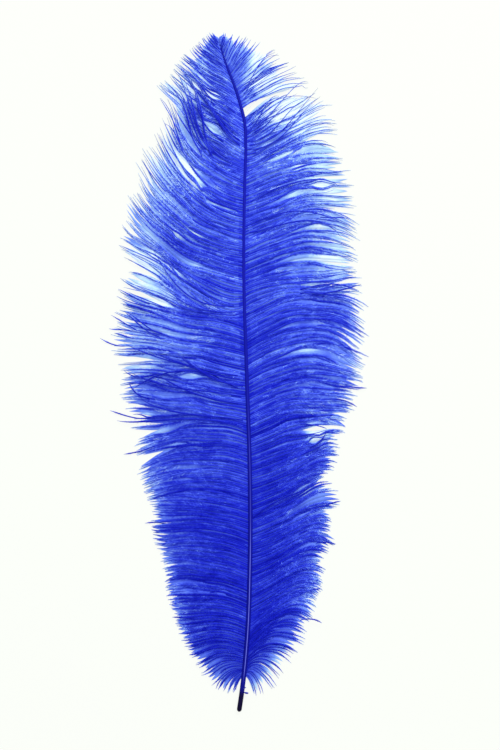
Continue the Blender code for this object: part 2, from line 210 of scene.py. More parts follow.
# Loose barbs that cross the others, read from the picture like the guide barbs: the root's place, then
# across and down at one third and at two thirds of the length and at the tip, how far up they lie in mm, and
# how long their down is beside the others'.
LEFT_LOOSE = (
    (214, 154, 199, 133, 189, 104, 178, 73, 2.4, 0.7), (232, 127, 213, 111, 192, 99, 170, 77, 2.0, 0.6),
    (202, 152, 191, 133, 184, 108, 166, 83, 1.8, 0.6), (202, 157, 190, 134, 180.5, 119, 172, 104, 1.2, 0.5),
    (188, 158, 177, 133, 170.5, 114, 160.6, 98.4, 0.6, 0.3),
    (188, 162, 178.5, 141, 172, 129.5, 164.6, 123.7, 0.6, 0.4),
    (216, 108, 207, 95, 197, 81.5, 186, 69, 2.0, 0.7), (212, 156, 204, 130, 200, 106, 190, 80, 2.8, 0.9),
    (240, 141, 219, 121, 206, 99, 193, 80, 2.2, 0.9), (240, 146, 222, 127, 208, 104, 199, 84, 2.6, 0.7),
    (216, 154, 200, 132, 193.5, 110, 183, 76, 2.9, 0.8), (206, 150, 194, 128, 186, 104, 175, 88, 2.1, 0.6),
    (236, 134, 215, 114, 196, 90, 178, 67, 1.6, 0.5), (226, 128, 208, 104, 190, 87, 174, 71, 1.4, 0.4),
    (224, 142, 203, 122, 197, 103, 192, 83, 2.5, 0.6), (240, 305, 196, 300, 170, 277, 154, 251, 0.8, 0.45),
    (240, 312, 200, 309, 176, 297, 160, 281, 0.9, 0.45), (240, 316, 200, 312, 180, 306, 160, 296, 0.7, 0.45),
    (242, 320, 200, 312, 160, 297, 123, 279, 0.2, 0.35),
    (165, 308, 153, 302.5, 140, 297.5, 126, 291, 1.0, 0.25),
    (150, 304, 139, 300, 128, 294, 118, 289, 0.8, 0.35),
    (152, 311, 142, 308.5, 132, 305.5, 123, 303.5, 1.2, 0.35),
    (154, 313, 143, 310, 133, 306.5, 123, 305, 1.2, 0.35),
    (165, 335, 149, 328, 137, 319, 124, 311, 1.8, 0.35), (160, 337, 146, 330, 134, 320, 125, 312, 1.4, 0.35),
    (142, 332, 131, 327, 121, 321, 111, 315, 0.3, 0.25),
    (130, 330, 122, 330, 116, 329.6, 109, 328.4, 0.2, 0.25),
    (142, 339, 131, 338, 122, 335, 115, 333, 0.8, 0.45),
    (130, 345.5, 118, 345.7, 109, 343, 100, 338, 0.2, 0.25),
    (242, 397, 205, 391, 168, 386, 126, 370, 2.0, 0.4), (225, 376, 187, 371, 157, 376, 129, 392, 2.3, 0.4),
    (150, 399, 141, 396, 134, 391, 129, 382, 1.8, 0.3), (232, 386, 198, 369, 163, 359, 124, 343, 1.8, 0.35),
    (238, 388, 213, 377, 193, 366, 176, 353, 2.2, 0.4), (238, 404, 204, 396, 179, 387, 157, 374, 2.2, 0.4),
    (243, 386, 217, 380, 199, 370, 182, 356, 2.4, 0.45), (242, 376, 205, 370, 175, 361, 146, 350, 1.6, 0.45),
    (242, 380, 212, 374, 188, 371, 166, 379, 2.1, 0.45),
    (175, 378, 158, 374, 141, 377, 123, 369.5, 1.1, 0.45),
    (243, 420, 200, 415, 168, 410, 140, 399, 1.8, 0.45),
    (243, 428, 195, 419, 150, 421, 117, 420.5, 1.2, 0.45),
    (150, 418, 136, 418, 122, 414.5, 110, 410.5, 0.4, 0.25),
    (155, 446, 145, 449.5, 134, 452.5, 123.5, 454.5, 0.3, 0.25),
    (170, 524, 162, 523, 154, 522.5, 145, 523, 0.3, 0.25),
    (178, 537, 169, 534, 161, 532.5, 153, 532, 0.3, 0.25),
    (195, 619, 188, 617.5, 180, 617, 172, 617, 0.3, 0.25),
    (180, 132, 173, 121, 167, 110, 160, 98, 0.3, 0.25), (178, 150, 172, 139, 167, 129, 162, 118, 0.3, 0.25),
    (176, 166, 169, 155, 163, 144, 157, 133, 0.3, 0.25), (166, 192, 157, 182, 149, 171, 141, 159, 0.4, 0.25),
)
RIGHT_LOOSE = (
    (246, 128, 268, 117, 290, 92, 308, 82.5, 0.8, 0.45), (247, 142, 270, 134, 286, 116, 303, 101, 1.8, 0.35),
    (247, 146, 274, 138, 292, 120, 318, 88, 2.0, 0.35), (247, 150, 277, 141, 297, 120, 320, 97, 1.7, 0.35),
    (247, 138, 266, 126, 284, 108, 311, 97, 1.6, 0.35), (247, 134, 262, 124, 272, 114, 283, 106, 2.2, 0.35),
    (246, 131, 258, 120, 268, 103, 279, 97, 1.5, 0.35), (245, 118, 262, 108, 285, 98, 316, 98.5, 1.4, 0.35),
    (243, 96, 255, 80, 265, 70, 276, 64, 1.9, 0.35), (242, 92, 252, 78, 262, 62, 279, 56, 1.2, 0.45),
    (244, 100, 258, 86, 276, 76, 296, 66, 0.8, 0.45), (244, 104, 262, 90, 280, 80, 297, 73, 0.6, 0.45),
    (246, 160, 270, 146, 300, 128, 334, 126, 0.9, 0.45), (247, 166, 275, 152, 303, 136, 337, 131, 0.8, 0.45),
    (246, 226, 280, 214, 312, 213, 355, 230, 2.2, 0.25), (246, 234, 278, 226, 312, 221, 341, 238, 2.5, 0.45),
    (320, 217.5, 330, 218, 340, 218, 350, 219, 0.5, 0.25),
    (246, 205, 280, 188, 315, 180, 340, 188, 1.5, 0.45),
    (300, 294, 316, 293.3, 333, 296, 348, 299.5, 1.6, 0.25),
    (312, 295, 331, 292.3, 347, 288.5, 361, 284.5, 1.4, 0.35),
    (300, 290, 325, 284.5, 343, 285.5, 359, 291, 0.8, 0.35),
    (335, 386, 346, 386.6, 357, 387.4, 367, 388, 0.4, 0.25),
    (330, 399, 340, 399.5, 349, 402.5, 357, 407, 0.4, 0.25),
    (290, 437, 303, 435, 315, 433, 327, 429.5, 1.2, 0.35),
    (310, 448, 318, 442.5, 322.5, 438, 326, 433, 1.8, 0.35),
    (300, 455, 312, 450, 322, 445, 331, 441.5, 1.2, 0.35),
    (300, 424, 310, 424.5, 319, 426, 327, 429, 0.8, 0.45),
    (250, 520, 275, 502, 298, 492, 321, 481, 1.8, 0.35),
    (320, 507, 327, 504.5, 334, 502.5, 341, 501, 0.3, 0.25),
    (316, 543, 323, 542, 329, 542.5, 336, 544, 0.3, 0.25),
    (300, 594, 307, 591, 315, 589, 322, 589, 0.3, 0.25),
    (300, 620, 307, 618.5, 315, 619.5, 322, 623, 0.3, 0.25),
)
LOOSE = {LEFT: LEFT_LOOSE, RIGHT: RIGHT_LOOSE}

# ------------------------------------------------------------------ the feather's make

SEED = 11
BARB_STEPS = 25
BARB_PITCH = 1.1  # between two roots along the shaft
FAN_PITCH = 1.35  # at most this far apart at FAN_AT of their length
FAN_AT = 0.6
BARB_JITTER = 0.42  # how far a barb may be from its even place, as a share of the pitch
BARB_REACH = (0.995, 0.03)  # how long barbs are beside their guides, and how much that varies
SHORT_BARBS = 0.09  # the share of the barbs that end early
SHORT_REACH = (0.62, 0.9)  # where they end, as shares of the length
DENSE_REACH = (0.86, 0.98)  # where they end in a dense vane
CLEARED_REACH = (0.3, 0.55)  # where barbs end that don't reach a clearing
STUNTED_REACH = (0.35, 0.65)  # where the barbs end that SHORT lists
LEAN = 1.8  # how far the tips stray on their own
CROSSING_BARBS = 0.3  # the share that leans over its neighbours
CROSSING_LEAN = 2.4  # times as far as the others
TUFT_SWAY = 1.2  # how far the tips of a tuft stray together
FLOW = (0.9, 36, 8)  # how far all barbs flow aside, the size of these waves and their seed
WAVE = 0.4  # how far a barb swings in one long wave
WAVE_LENGTH = (50, 100)
BEND = 0.3  # how far it bends to one side and back
BEND_TURNS = (5, 12)  # radians from root to tip
KINK = (0.03, 0.16)  # how far its small kinks go
KINK_TURNS = (24, 46)
LAYER = 0.3  # how far barbs lie over and under one another
DIP = (0.08, 0.28)  # how far they weave up and down
DIP_TURNS = (12, 30)
LONG_BARB = 55  # from this length on a barb sways freely
LOWEST = 0.4  # no barb lies lower than this over the table
OPENING_REACH = 3.2  # how far beside an opening barbs are pushed, in its half widths
WIDE_OPENING = 4  # from this half width on, in points of the picture, an opening is wide
WIDE_ROOM = (0.75, 0.08)  # the least room a barb makes for it, and the share that makes none
NARROW_ROOM = (0.4, 0.22)
THREAD_FROM = 13  # the first step of a barb where its middle stands out as a thread
FOOT_PLACE = 36  # up to here, and from UPPER_PLACE on, the barbs are short and their threads show
UPPER_PLACE = 325
EARLY_THREAD_FROM = 4
THREAD_GIRTH = (0.22, 0.13)  # the thread's radius there and near the tip
THREAD_RISE = 0.12  # how far the threads lie over the middle of their down
DASHES = ((5.5, 9), (9, 17))  # the lengths over which a barb turns paler and darker again
DASH_SHADE = 0.06
TUFT_WIDTH = 3.6  # barbs near their tips hang together in tufts about this wide
TUFT_GRIP = (0.1, 0.85)  # how firmly: 1 brings them all together
DENSE_GRIP = 0.6  # times as firmly in a dense vane
TUFT_FROM = (0.45, 0.76)  # where barbs begin to gather in a loose and in a dense vane
PARTED_GRIP = 0.9
PARTED_EDGES = (0.04, 0.96)  # where a parting's barbs gather, between the two guides beside it
DENSE_ROW = 460  # below this row of the picture the vanes hang together nearly to their edges
VANE_ARCH = 2.8  # how far a vane arches up between the shaft and its tips
VANE_SWELL = (1.3, 60, 3)  # how far it swells up and down, the size of these swells and their seed
WEB_DRIFT = (0.04, 30, 5)  # how the tone changes over a vane, like FLOW
WEB_SHADES = 24  # columns of the webs' map, from the darkest to the lightest
WEB_WIDTH = 0.62  # half of what a barb with its dense down is wide
WEB_ROOF = 0.12  # how far its ridge and its keel lie from its edges
WEB_KEEL = 0.04
HAZE_PITCH = 2.1  # between two ribbons of the finest down
HAZE_JITTER = 0.2
HAZE_TONES = (0.42, 1.02)  # the darkest and the lightest on its map
HAZE_STEPS = 13
HAZE_WIDTH = 1.8  # half of what a ribbon of it is wide
HAZE_ROOF = 0.1
HAZE_REACH = (0.97, 0.03)
HAZE_DEPTH = 0.75  # how far under the barbs a ribbon lies
HAZE_BEND = 0.6  # how far it bends to one side and back
HAZE_DRIFT = (0.05, 16, 21)
HAZE_PALING = 0.08  # how much paler its ridge is than its edges
DOWN_LENGTH = 2.7
DOWN_WIDTH = 0.19  # a little over half of what a hair of the down is wide where it grows
DOWN_THICKNESS = 0.06
DOWN_DENSITY = 4.0  # hairs for each millimetre of a barb
DOWN_JITTER = 0.4
DOWN_CROWDING = 0.45  # under 1, because the hairs stand closer towards a barb's tip
DOWN_REACH = (0.7, 1.2)  # how long hairs are beside one another, and how wide
DOWN_BREADTH = (0.7, 1.25)
DOWN_MOTTLE = 0.08  # how much their shades vary
DOWN_SHADES = (0.03, 0.84)
DOWN_ANGLE = (40, 12)  # degrees between a hair and its barb, and how much that varies
DOWN_TILT = (-14, 12)  # degrees that it points up, and how much that varies
DOWN_PALING = 0.22  # how much paler a hair is at its tip
DOWN_PIECES = 4  # a side


def quill_end():
    """Where the quill's end lies in the frame."""
    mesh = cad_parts["feather"].data
    points = np.zeros(len(mesh.vertices) * 3)
    mesh.vertices.foreach_get("co", points)
    points = points.reshape(-1, 3)
    first = points[:, 1].min()
    end = points[points[:, 1] < first + QUILL_END_DEPTH * MM]
    return np.array((end[:, 0].mean(), first, 0.0))


FEATHER_START = quill_end()


def between(rows, place):
    """The columns of a table at places between its rows, on smooth curves."""
    table = np.array(rows)
    places = table[:, 0]
    slopes = np.gradient(table, places, axis=0)
    place = np.asarray(place, float)
    i = np.clip(np.searchsorted(places, place) - 1, 0, len(places) - 2)
    gap = (places[i + 1] - places[i])[..., None]
    t = np.clip((place[..., None] - places[i][..., None]) / gap, 0.0, 1.0)
    start = table[i] * (1 + 2 * t) + slopes[i] * gap * t
    end = table[i + 1] * (3 - 2 * t) - slopes[i + 1] * gap * (1 - t)
    return (start * (1 - t) ** 2 + end * t**2)[..., 1:]


def shaft_middle(place):
    """Where the shaft's middle lies, seen from above."""
    return np.stack((between(SHAFT_LINE, place)[..., 0], np.asarray(place, float)), axis=-1)


def shaft_right(place):
    """The direction across the shaft, to its right."""
    step = shaft_middle(np.asarray(place) + 0.5) - shaft_middle(np.asarray(place) - 0.5)
    return np.stack((step[..., 1], -step[..., 0]), axis=-1) / np.linalg.norm(step, axis=-1)[..., None]


def from_picture(points):
    """Points of the picture as millimetres from the quill's end."""
    points = np.asarray(points, float)
    return np.stack((points[..., 0] - QUILL_END[0], QUILL_END[1] - points[..., 1]), axis=-1) * PICTURE_POINT


def smooth(low, high, value):
    """0 up to low, 1 from high on, and smooth between the two."""
    t = np.clip((value - low) / (high - low), 0.0, 1.0)
    return t * t * (3 - 2 * t)


def drift(points, strength, size, seed, waves=7):
    """A slow change over the feather, up and down by about the strength, in waves of about the size."""
    chance = np.random.default_rng(seed)
    total = np.zeros(points.shape[:-1])
    for _ in range(waves):
        turn = chance.uniform(0, tau)
        length = size * chance.uniform(0.7, 1.6)
        way = points[..., 0] * cos(turn) + points[..., 1] * sin(turn)
        total += np.sin(way * tau / length + chance.uniform(0, tau))
    return strength * (total / waves**0.5)


def airy(side, place):
    """How loose the outer part of a vane is: 0 where it hangs together nearly to its edge, and 1 above."""
    return smooth(160, 280, place) if side == LEFT else smooth(215, 300, place)


def fan_size(place):
    """How big the down is: small on the barbs that spread at the foot of the vanes and at their top."""
    return 0.3 + 0.7 * smooth(22, 52, place) - 0.55 * smooth(345, 395, place)


def from_middle(points, across, down, angle):
    """How far points lie from a place of the picture: along a direction and across it, which come too."""
    along = np.array((cos(radians(angle)), sin(radians(angle))))
    beside = np.array((-along[1], along[0]))
    apart = points - from_picture((across, down))
    return apart @ along, apart @ beside, along, beside


def spots(points, rows):
    """A sum of soft oval spots: across, down, slope, half length, half width and amount."""
    total = np.zeros(points.shape[:-1])
    for across, down, angle, long, wide, amount in rows:
        a, b = from_middle(points, across, down, angle)[:2]
        total += amount * np.exp(-((a / long) ** 2 + (b / wide) ** 2) / PICTURE_POINT**2)
    return total


def patches(points):
    """How much lighter or darker the down is at each point."""
    return spots(points, [(*row[:2], 0, *row[2:]) for row in PATCHES])


def clearing(points):
    """How far a vane is cleared of down at each point: 1 where the finest down is nearly white."""
    return spots(points, [(*row[:2], 0, *row[2:]) for row in CLEARINGS]).clip(0, 1)


def openness(points):
    """How near the middle of an eye-shaped opening each point lies: 1 at the middle."""
    return spots(points, [(*row[:4], 1.5 * row[4], 1.0) for row in OPENINGS]).clip(0, 1)


# ------------------------------------------------------------------ barbs


def through(root, first, second, tip):
    """The control points of curves that pass through points at one third and two thirds of their length."""
    leave = (-5 * root + 18 * first - 9 * second + 2 * tip) / 6
    arrive = (2 * root - 9 * first + 18 * second - 5 * tip) / 6
    return np.stack((root, leave, arrive, tip), axis=1)


def on_curve(control, t):
    """Points at shares t of the curves' length."""
    s = 1 - t
    weights = np.stack((s**3, 3 * s**2 * t, 3 * s * t**2, t**3), axis=-1)
    return (weights[..., None] * control).sum(axis=-2)


def guide_curves(side):
    """Where the guide barbs leave the shaft, and the control points of their curves."""
    rows = np.array(GUIDES[side], float)
    place = (QUILL_END[1] - rows[:, 0]) * PICTURE_POINT
    radius = between(SHAFT_GIRTH, place)[:, :1]
    root = shaft_middle(place) + shaft_right(place) * side * radius * 0.6
    return place, through(root, *(from_picture(rows[:, i : i + 2]) for i in (1, 3, 5)))


def along_guides(curves, number, t):
    """Points at shares t of the length, on curves that lie between the guide barbs."""
    k = np.clip(np.floor(number).astype(int), 0, len(curves) - 2)
    upper, lower = on_curve(curves[k], t), on_curve(curves[k + 1], t)
    return upper + (lower - upper) * (number - k)[..., None]


def guide_rows(side, above):
    """The row of the picture where the guide barb above each barb has its root."""
    return np.array([row[0] for row in GUIDES[side]])[above]


def barb_places(places, curves, pitch, fan_pitch, jitter, chance):
    """Which pair of guide barbs each barb lies between, and where between the two."""
    middles = on_curve(curves, FAN_AT)
    above, share = [], []
    for k in range(len(places) - 1):
        root_gap = abs(places[k] - places[k + 1])
        fan_gap = np.linalg.norm(middles[k] - middles[k + 1])
        count = max(2, round(max(root_gap / pitch, fan_gap / fan_pitch)))
        above += [k] * count
        share += list((np.arange(count) + 0.5 + chance.uniform(-jitter, jitter, count)) / count)
    return np.array(above), np.array(share)


def listed(table, side, above, share):
    """Which barbs lie in a vane's places that a table lists."""
    rows = guide_rows(side, above)
    inside = np.zeros(len(rows), bool)
    for row, (low, high) in table[side].items():
        inside |= (rows == row) & (share > low) & (share < high)
    return inside


def tufts(side, curves, chance):
    """The middles of the tufts, counted along the guide barbs, and how firmly each one gathers its barbs."""
    ends = on_curve(curves, 0.85)
    middles, grips = [], []
    for k, row in enumerate(GUIDES[side][:-1]):
        if row[0] in PARTINGS[side]:
            middles += [k + edge for edge in PARTED_EDGES]
            grips += [PARTED_GRIP, PARTED_GRIP]
            continue
        count = max(1, round(np.linalg.norm(ends[k] - ends[k + 1]) / TUFT_WIDTH))
        middles += list(k + (np.arange(count) + 0.5 + chance.uniform(-0.3, 0.3, count)) / count)
        grips += list(chance.uniform(*TUFT_GRIP, count) * (1 if row[0] < DENSE_ROW else DENSE_GRIP))
    return np.array(middles), np.array(grips)


def parting(side, above, t, kept, most):
    """The given values, but where a vane parts, how far barbs have come to the parting's nearer edge."""
    rows = guide_rows(side, above)[:, None]
    for row, joined in PARTINGS[side].items():
        kept = np.where(rows == row, most * smooth(joined - 0.05, joined + 0.3, t), kept)
    return kept


def hold(side, above, t, grip):
    """How close a barb has come to the middle of its tuft, along its length."""
    begins = np.where(guide_rows(side, above) < DENSE_ROW, *TUFT_FROM)[:, None]
    return parting(side, above, t, grip[:, None] * smooth(begins, 1.0, t), 0.92)


def sideways(points):
    """The level direction across each line, at each of its points."""
    along = np.gradient(points, axis=1)
    along /= np.linalg.norm(along, axis=-1)[..., None]
    return np.stack((-along[..., 1], along[..., 0]), axis=-1)


def span(points):
    """How far the end of each line is from its root, seen from above."""
    return np.linalg.norm(points[:, -1, :2] - points[:, 0, :2], axis=1)[:, None]


def ripple(way, turns, chance):
    """A wave along each line, which begins anywhere."""
    return np.sin(way * turns + chance.uniform(0, tau, (len(way), 1)))


def bend(t, size, chance):
    """A bend of each line to one side and back."""
    return chance.normal(0, size, (len(t), 1)) * np.sin(t * chance.uniform(*BEND_TURNS, (len(t), 1)))


def moved_aside(points, t, shift, dense, held):
    """Lines moved sideways by their own shift and the vane's slow flow, less where it is dense or narrow."""
    free = np.where(dense, held, 1.0)[:, None] * (span(points) / LONG_BARB).clip(0.1, 1) ** 1.3
    flow = drift(points, *FLOW) * smooth(0.1, 0.45, t)
    return points + sideways(points) * (free * (shift + flow))[..., None]


def open_up(points, chance):
    """Barbs pushed aside, each to its own side, from the eye-shaped openings; a few stay and cross them."""
    for across, down, angle, half_length, half_width in OPENINGS:
        a, b, long_way, wide_way = from_middle(points, across, down, angle)
        length, width = half_length * PICTURE_POINT, half_width * PICTURE_POINT
        reach = OPENING_REACH * width
        near = (np.abs(a) < length) & (np.abs(b) < reach)
        bell = (1 - (a / length) ** 2).clip(0) ** 2
        weight = near * bell
        total = weight.sum(axis=1)
        lean = (weight * b).sum(axis=1) / np.maximum(total, 1e-9)
        askew = np.abs(sideways(points) @ long_way)
        follows = 1 - smooth(0.3, 0.65, (weight * askew).sum(axis=1) / np.maximum(total, 1e-9))[:, None]
        own_side = np.where(lean >= 0, 1.0, -1.0)[:, None]
        least, crossing = WIDE_ROOM if half_width >= WIDE_OPENING else NARROW_ROOM
        own_width = width * chance.uniform(least, 1.0, (len(points), 1))
        own_width[chance.random(len(points)) < crossing] = 0.0
        clear = own_width * bell
        apart = own_side * b
        moved = clear + apart * (reach - clear) / reach
        moved = np.where(apart < 0, np.maximum(moved, clear * 0.8), moved)
        push = np.where(near & (total[:, None] > 0), own_side * moved - b, 0.0)
        points = points + (push * follows)[..., None] * wide_way
    return points


def vane_height(points, place, t):
    """How high a vane lies over the table, with its slow swells; the tips lie on the table."""
    shaft_height = between(SHAFT_GIRTH, place)[..., 1]
    arch = VANE_ARCH * 4 * t * (1 - t) * (1 - 0.4 * t)
    swell = drift(points, *VANE_SWELL) * np.sin(pi * np.clip(t, 0, 1))
    return shaft_height * (1 - t) + 0.35 * t + arch + swell


def barb_reach(side, above, share, curves, dense, chance):
    """How far along its guides each barb grows: 1 ends at the vane's edge."""
    reach = chance.normal(*BARB_REACH, len(above))

    def cut(chosen, shortest, longest):
        reach[chosen] = chance.uniform(shortest, longest, chosen.sum())

    short = chance.random(len(above)) < SHORT_BARBS
    cut(short, *SHORT_REACH)
    cut(dense & short, *DENSE_REACH)
    outer = along_guides(curves, (above + share)[:, None], 0.75)
    cut(chance.random(len(above)) < 0.45 * clearing(outer)[:, 0], *CLEARED_REACH)
    cut(listed(SHORT, side, above, share), *STUNTED_REACH)
    return reach


def barb_sway(t, length, chance):
    """How each barb strays sideways on its own: a lean, a long wave, a bend and small kinks."""
    each = (len(t), 1)
    lean = chance.normal(0, LEAN, each)
    lean = lean * np.where(chance.random(each) < CROSSING_BARBS, CROSSING_LEAN, 1.0)
    swing = chance.normal(0, WAVE, each)
    wave = swing * ripple(t * length, tau / chance.uniform(*WAVE_LENGTH, each), chance)
    own = bend(t, BEND, chance)
    kinks = chance.uniform(*KINK, each)
    own = own + kinks * ripple(t, chance.uniform(*KINK_TURNS, each), chance)
    return lean * smooth(0.1, 1.0, t) ** 1.5 + wave * smooth(0.08, 0.4, t) + own * smooth(0.1, 0.5, t)


def barb_heights(points, place, t, chance):
    """Barbs a little over and under one another, which come out of the shaft's upper side."""
    each = (len(t), 1)
    height = vane_height(points, place, t)
    height = height + chance.normal(0, LAYER, each) * np.sin(pi * np.clip(t * 0.8, 0, 1))
    dips = chance.uniform(*DIP, each) * smooth(0.04, 0.2, t) * (1 - 0.7 * smooth(0.5, 0.85, t))
    height = height + dips * ripple(t, chance.uniform(*DIP_TURNS, each), chance)
    radius = between(SHAFT_GIRTH, place)[..., 0]
    cover = 0.1 + 0.6 * smooth(130, 260, place) - 0.3 * smooth(290, 350, place)
    return np.maximum(height + cover * radius * (1 - smooth(0.0, 0.12, t)), LOWEST)


def loose_barbs(side, steps, chance):
    """The single barbs that cross the others: points, place, size of the down, girth and shade."""
    rows = np.array(LOOSE[side], float)
    lift, fluff = rows[:, 8:9], rows[:, 9]
    points = [from_picture(rows[:, i : i + 2]) for i in (0, 2, 4, 6)]
    line = on_curve(through(*points)[:, None], steps)
    line = line + 0.07 * chance.normal(0, 1, (len(rows), 1, 2)) * np.sin(steps * 7 + rows[:, :1])[..., None]
    here = line[..., 1].clip(1, SHAFT_LINE[-1][0])
    from_shaft = np.abs(line[..., 0] - shaft_middle(here)[..., 0])
    vane_width = 52 + 25 * smooth(90, 190, here) - 40 * smooth(290, 390, here)
    height = vane_height(line, here, (from_shaft / vane_width).clip(0, 1))
    height = np.maximum(height + (0.3 + 0.7 * lift) * smooth(-0.1, 0.3, steps), LOWEST)
    top = smooth(0.6, 2.0, lift[:, 0])
    shade = 0.42 - 0.22 * top + chance.uniform(-0.08, 0.08, len(rows))
    return np.concatenate((line, height[..., None]), axis=-1), points[0][:, 1], fluff, 0.65 + 0.5 * top, shade


def web_shades(side, points, place, shade, is_loose, steps, chance):
    """How pale the dense down is along each barb."""
    loose_part = (airy(side, place) * (1 - smooth(350, 375, place)))[:, None]
    upper = smooth(200, 300, place)
    tone = 0.12 + 0.22 * smooth(60, 310, place) + 0.04 * smooth(310, 345, place) + 0.035 * upper
    tone = (tone + (0.38 - 0.08 * upper) * shade - 0.08 * is_loose)[:, None]
    tone = tone + 0.1 * loose_part * smooth(0.35, 0.95, steps) + drift(points[..., :2], *WEB_DRIFT)
    tone = tone + 0.08 * (1 - loose_part) * smooth(0.8, 1.0, steps)
    from_root = steps * span(points)
    tone = tone - 0.1 * (1 - smooth(0.3, 3.5, from_root)) * smooth(150, 200, place)[:, None]
    for dash in DASHES:
        tone = tone + DASH_SHADE * ripple(from_root, tau / chance.uniform(*dash, (len(points), 1)), chance)
    return tone + patches(points[..., :2]) + 0.16 * clearing(points[..., :2])


def vane_barbs(side):
    """The barbs of a vane, the loose ones last, with what their threads and their down need to know."""
    chance = np.random.default_rng(SEED + side)
    places, curves = guide_curves(side)
    above, share = barb_places(places, curves, BARB_PITCH, FAN_PITCH, BARB_JITTER, chance)
    grown = ~listed(BARE, side, above, share)
    above, share = above[grown], share[grown]
    count, number = len(above), above + share
    dense = guide_rows(side, above) > DENSE_ROW
    reach = barb_reach(side, above, share, curves, dense, chance)
    steps = np.linspace(0, 1, BARB_STEPS)
    t = np.clip(reach, 0.3, 1.02)[:, None] * steps
    place = places[above] + (places[above + 1] - places[above]) * share
    middles, grips = tufts(side, curves, chance)
    tuft = np.abs(number[:, None] - middles).argmin(axis=1)
    gathered = hold(side, above, t, grips[tuft]) * (middles[tuft] - number)[:, None]
    points = along_guides(curves, number[:, None] + gathered, t)
    tuft_sway = chance.normal(0, TUFT_SWAY, len(middles))[tuft][:, None] * t**2
    shift = tuft_sway + barb_sway(t, span(points), chance)
    points = open_up(moved_aside(points, t, shift, dense, 0.6), chance)
    height = barb_heights(points, place[:, None], t, chance)
    points = np.concatenate((points, height[..., None]), axis=-1)
    shade = 0.5 + 0.2 * chance.normal(0, 1, count).clip(-1.3, 1.3)
    tuft_shade = chance.normal(0, 0.12, len(middles))[tuft] * np.where(dense, 0.35, 1.0)
    shade = shade + chance.normal(0, 0.1, count) + tuft_shade
    loose, loose_place, loose_fluff, loose_stout, loose_shade = loose_barbs(side, steps, chance)
    points = np.concatenate((points, loose))
    place = np.concatenate((place, loose_place))
    shade = np.concatenate((shade, loose_shade))
    is_loose = np.arange(len(points)) >= count
    return {
        "points": points,
        "t": np.broadcast_to(steps, points.shape[:2]),
        "along": steps * np.concatenate((np.minimum(reach, 1), np.ones(len(loose))))[:, None],
        "shade": shade,
        "web_shade": web_shades(side, points, place, shade, is_loose, steps, chance),
        "place": place,
        "fluff": np.concatenate((np.ones(count), loose_fluff)),
        "stout": np.concatenate((np.ones(count), loose_stout)),
        "is_loose": is_loose,
    }


def haze_lines(side):
    """Ribbons of the finest down under the barbs of a vane, which let the light through."""
    chance = np.random.default_rng(SEED * 3 + side)
    places, curves = guide_curves(side)
    above, share = barb_places(places, curves, HAZE_PITCH, HAZE_PITCH, HAZE_JITTER, chance)
    steps = np.linspace(0, 1, HAZE_STEPS)
    place = (places[above] + (places[above + 1] - places[above]) * share)[:, None]
    reach = chance.normal(*HAZE_REACH, (len(above), 1)).clip(0.85, 1.0)
    t = (reach - 0.2 * smooth(335, 370, place) - 0.12 * (1 - smooth(25, 50, place))) * steps
    number = (above + share)[:, None]
    edge = above[:, None] + np.where(share < 0.5, *PARTED_EDGES)[:, None]
    parted = parting(side, above, t, np.zeros(t.shape), 0.95)
    points = along_guides(curves, number + parted * (edge - number), t)
    points = moved_aside(points, t, bend(t, HAZE_BEND, chance), guide_rows(side, above) > DENSE_ROW, 0.5)
    height = vane_height(points, place, t) - HAZE_DEPTH * (1.3 - 0.3 * smooth(0.0, 0.2, t))
    height = np.maximum(height + chance.normal(0, 0.1, (len(above), 1)), 0.25)
    upper = smooth(110, 250, place)
    inner = 0.56 + 0.1 * upper
    outer = 0.66 + 0.13 * airy(side, place) + 0.06 * smooth(300, 350, place)
    outer = outer + (0.18 if side == RIGHT else 0.12) * (1 - smooth(20, 42, place))
    tone = inner + (outer - inner) * smooth(0.3, 0.85, t) + (0.1 + 0.14 * upper) * openness(points)
    tone = tone + 0.35 * clearing(points) + drift(points, *HAZE_DRIFT) + 0.5 * patches(points)
    girth = HAZE_WIDTH * (0.4 + 0.6 * fan_size(place)) * ((1 - steps) / 0.25).clip(0, 1) ** 0.7
    bare = listed(BARE, side, above, share)[:, None]
    low, high = HAZE_TONES
    return {
        "points": np.concatenate((points, height[..., None]), axis=-1),
        "girth": girth * np.where(bare, smooth(0.2, 0.45, t), 1.0) + 0.02,
        "shade": (tone - low) / (high - low),
        "along": np.broadcast_to(steps, tone.shape),
    }


def on_line(line, way, distance):
    """Points at distances along a line. The way is how far its own points are from its root."""
    return np.stack([np.interp(distance, way, line[:, k]) for k in range(3)], axis=1)


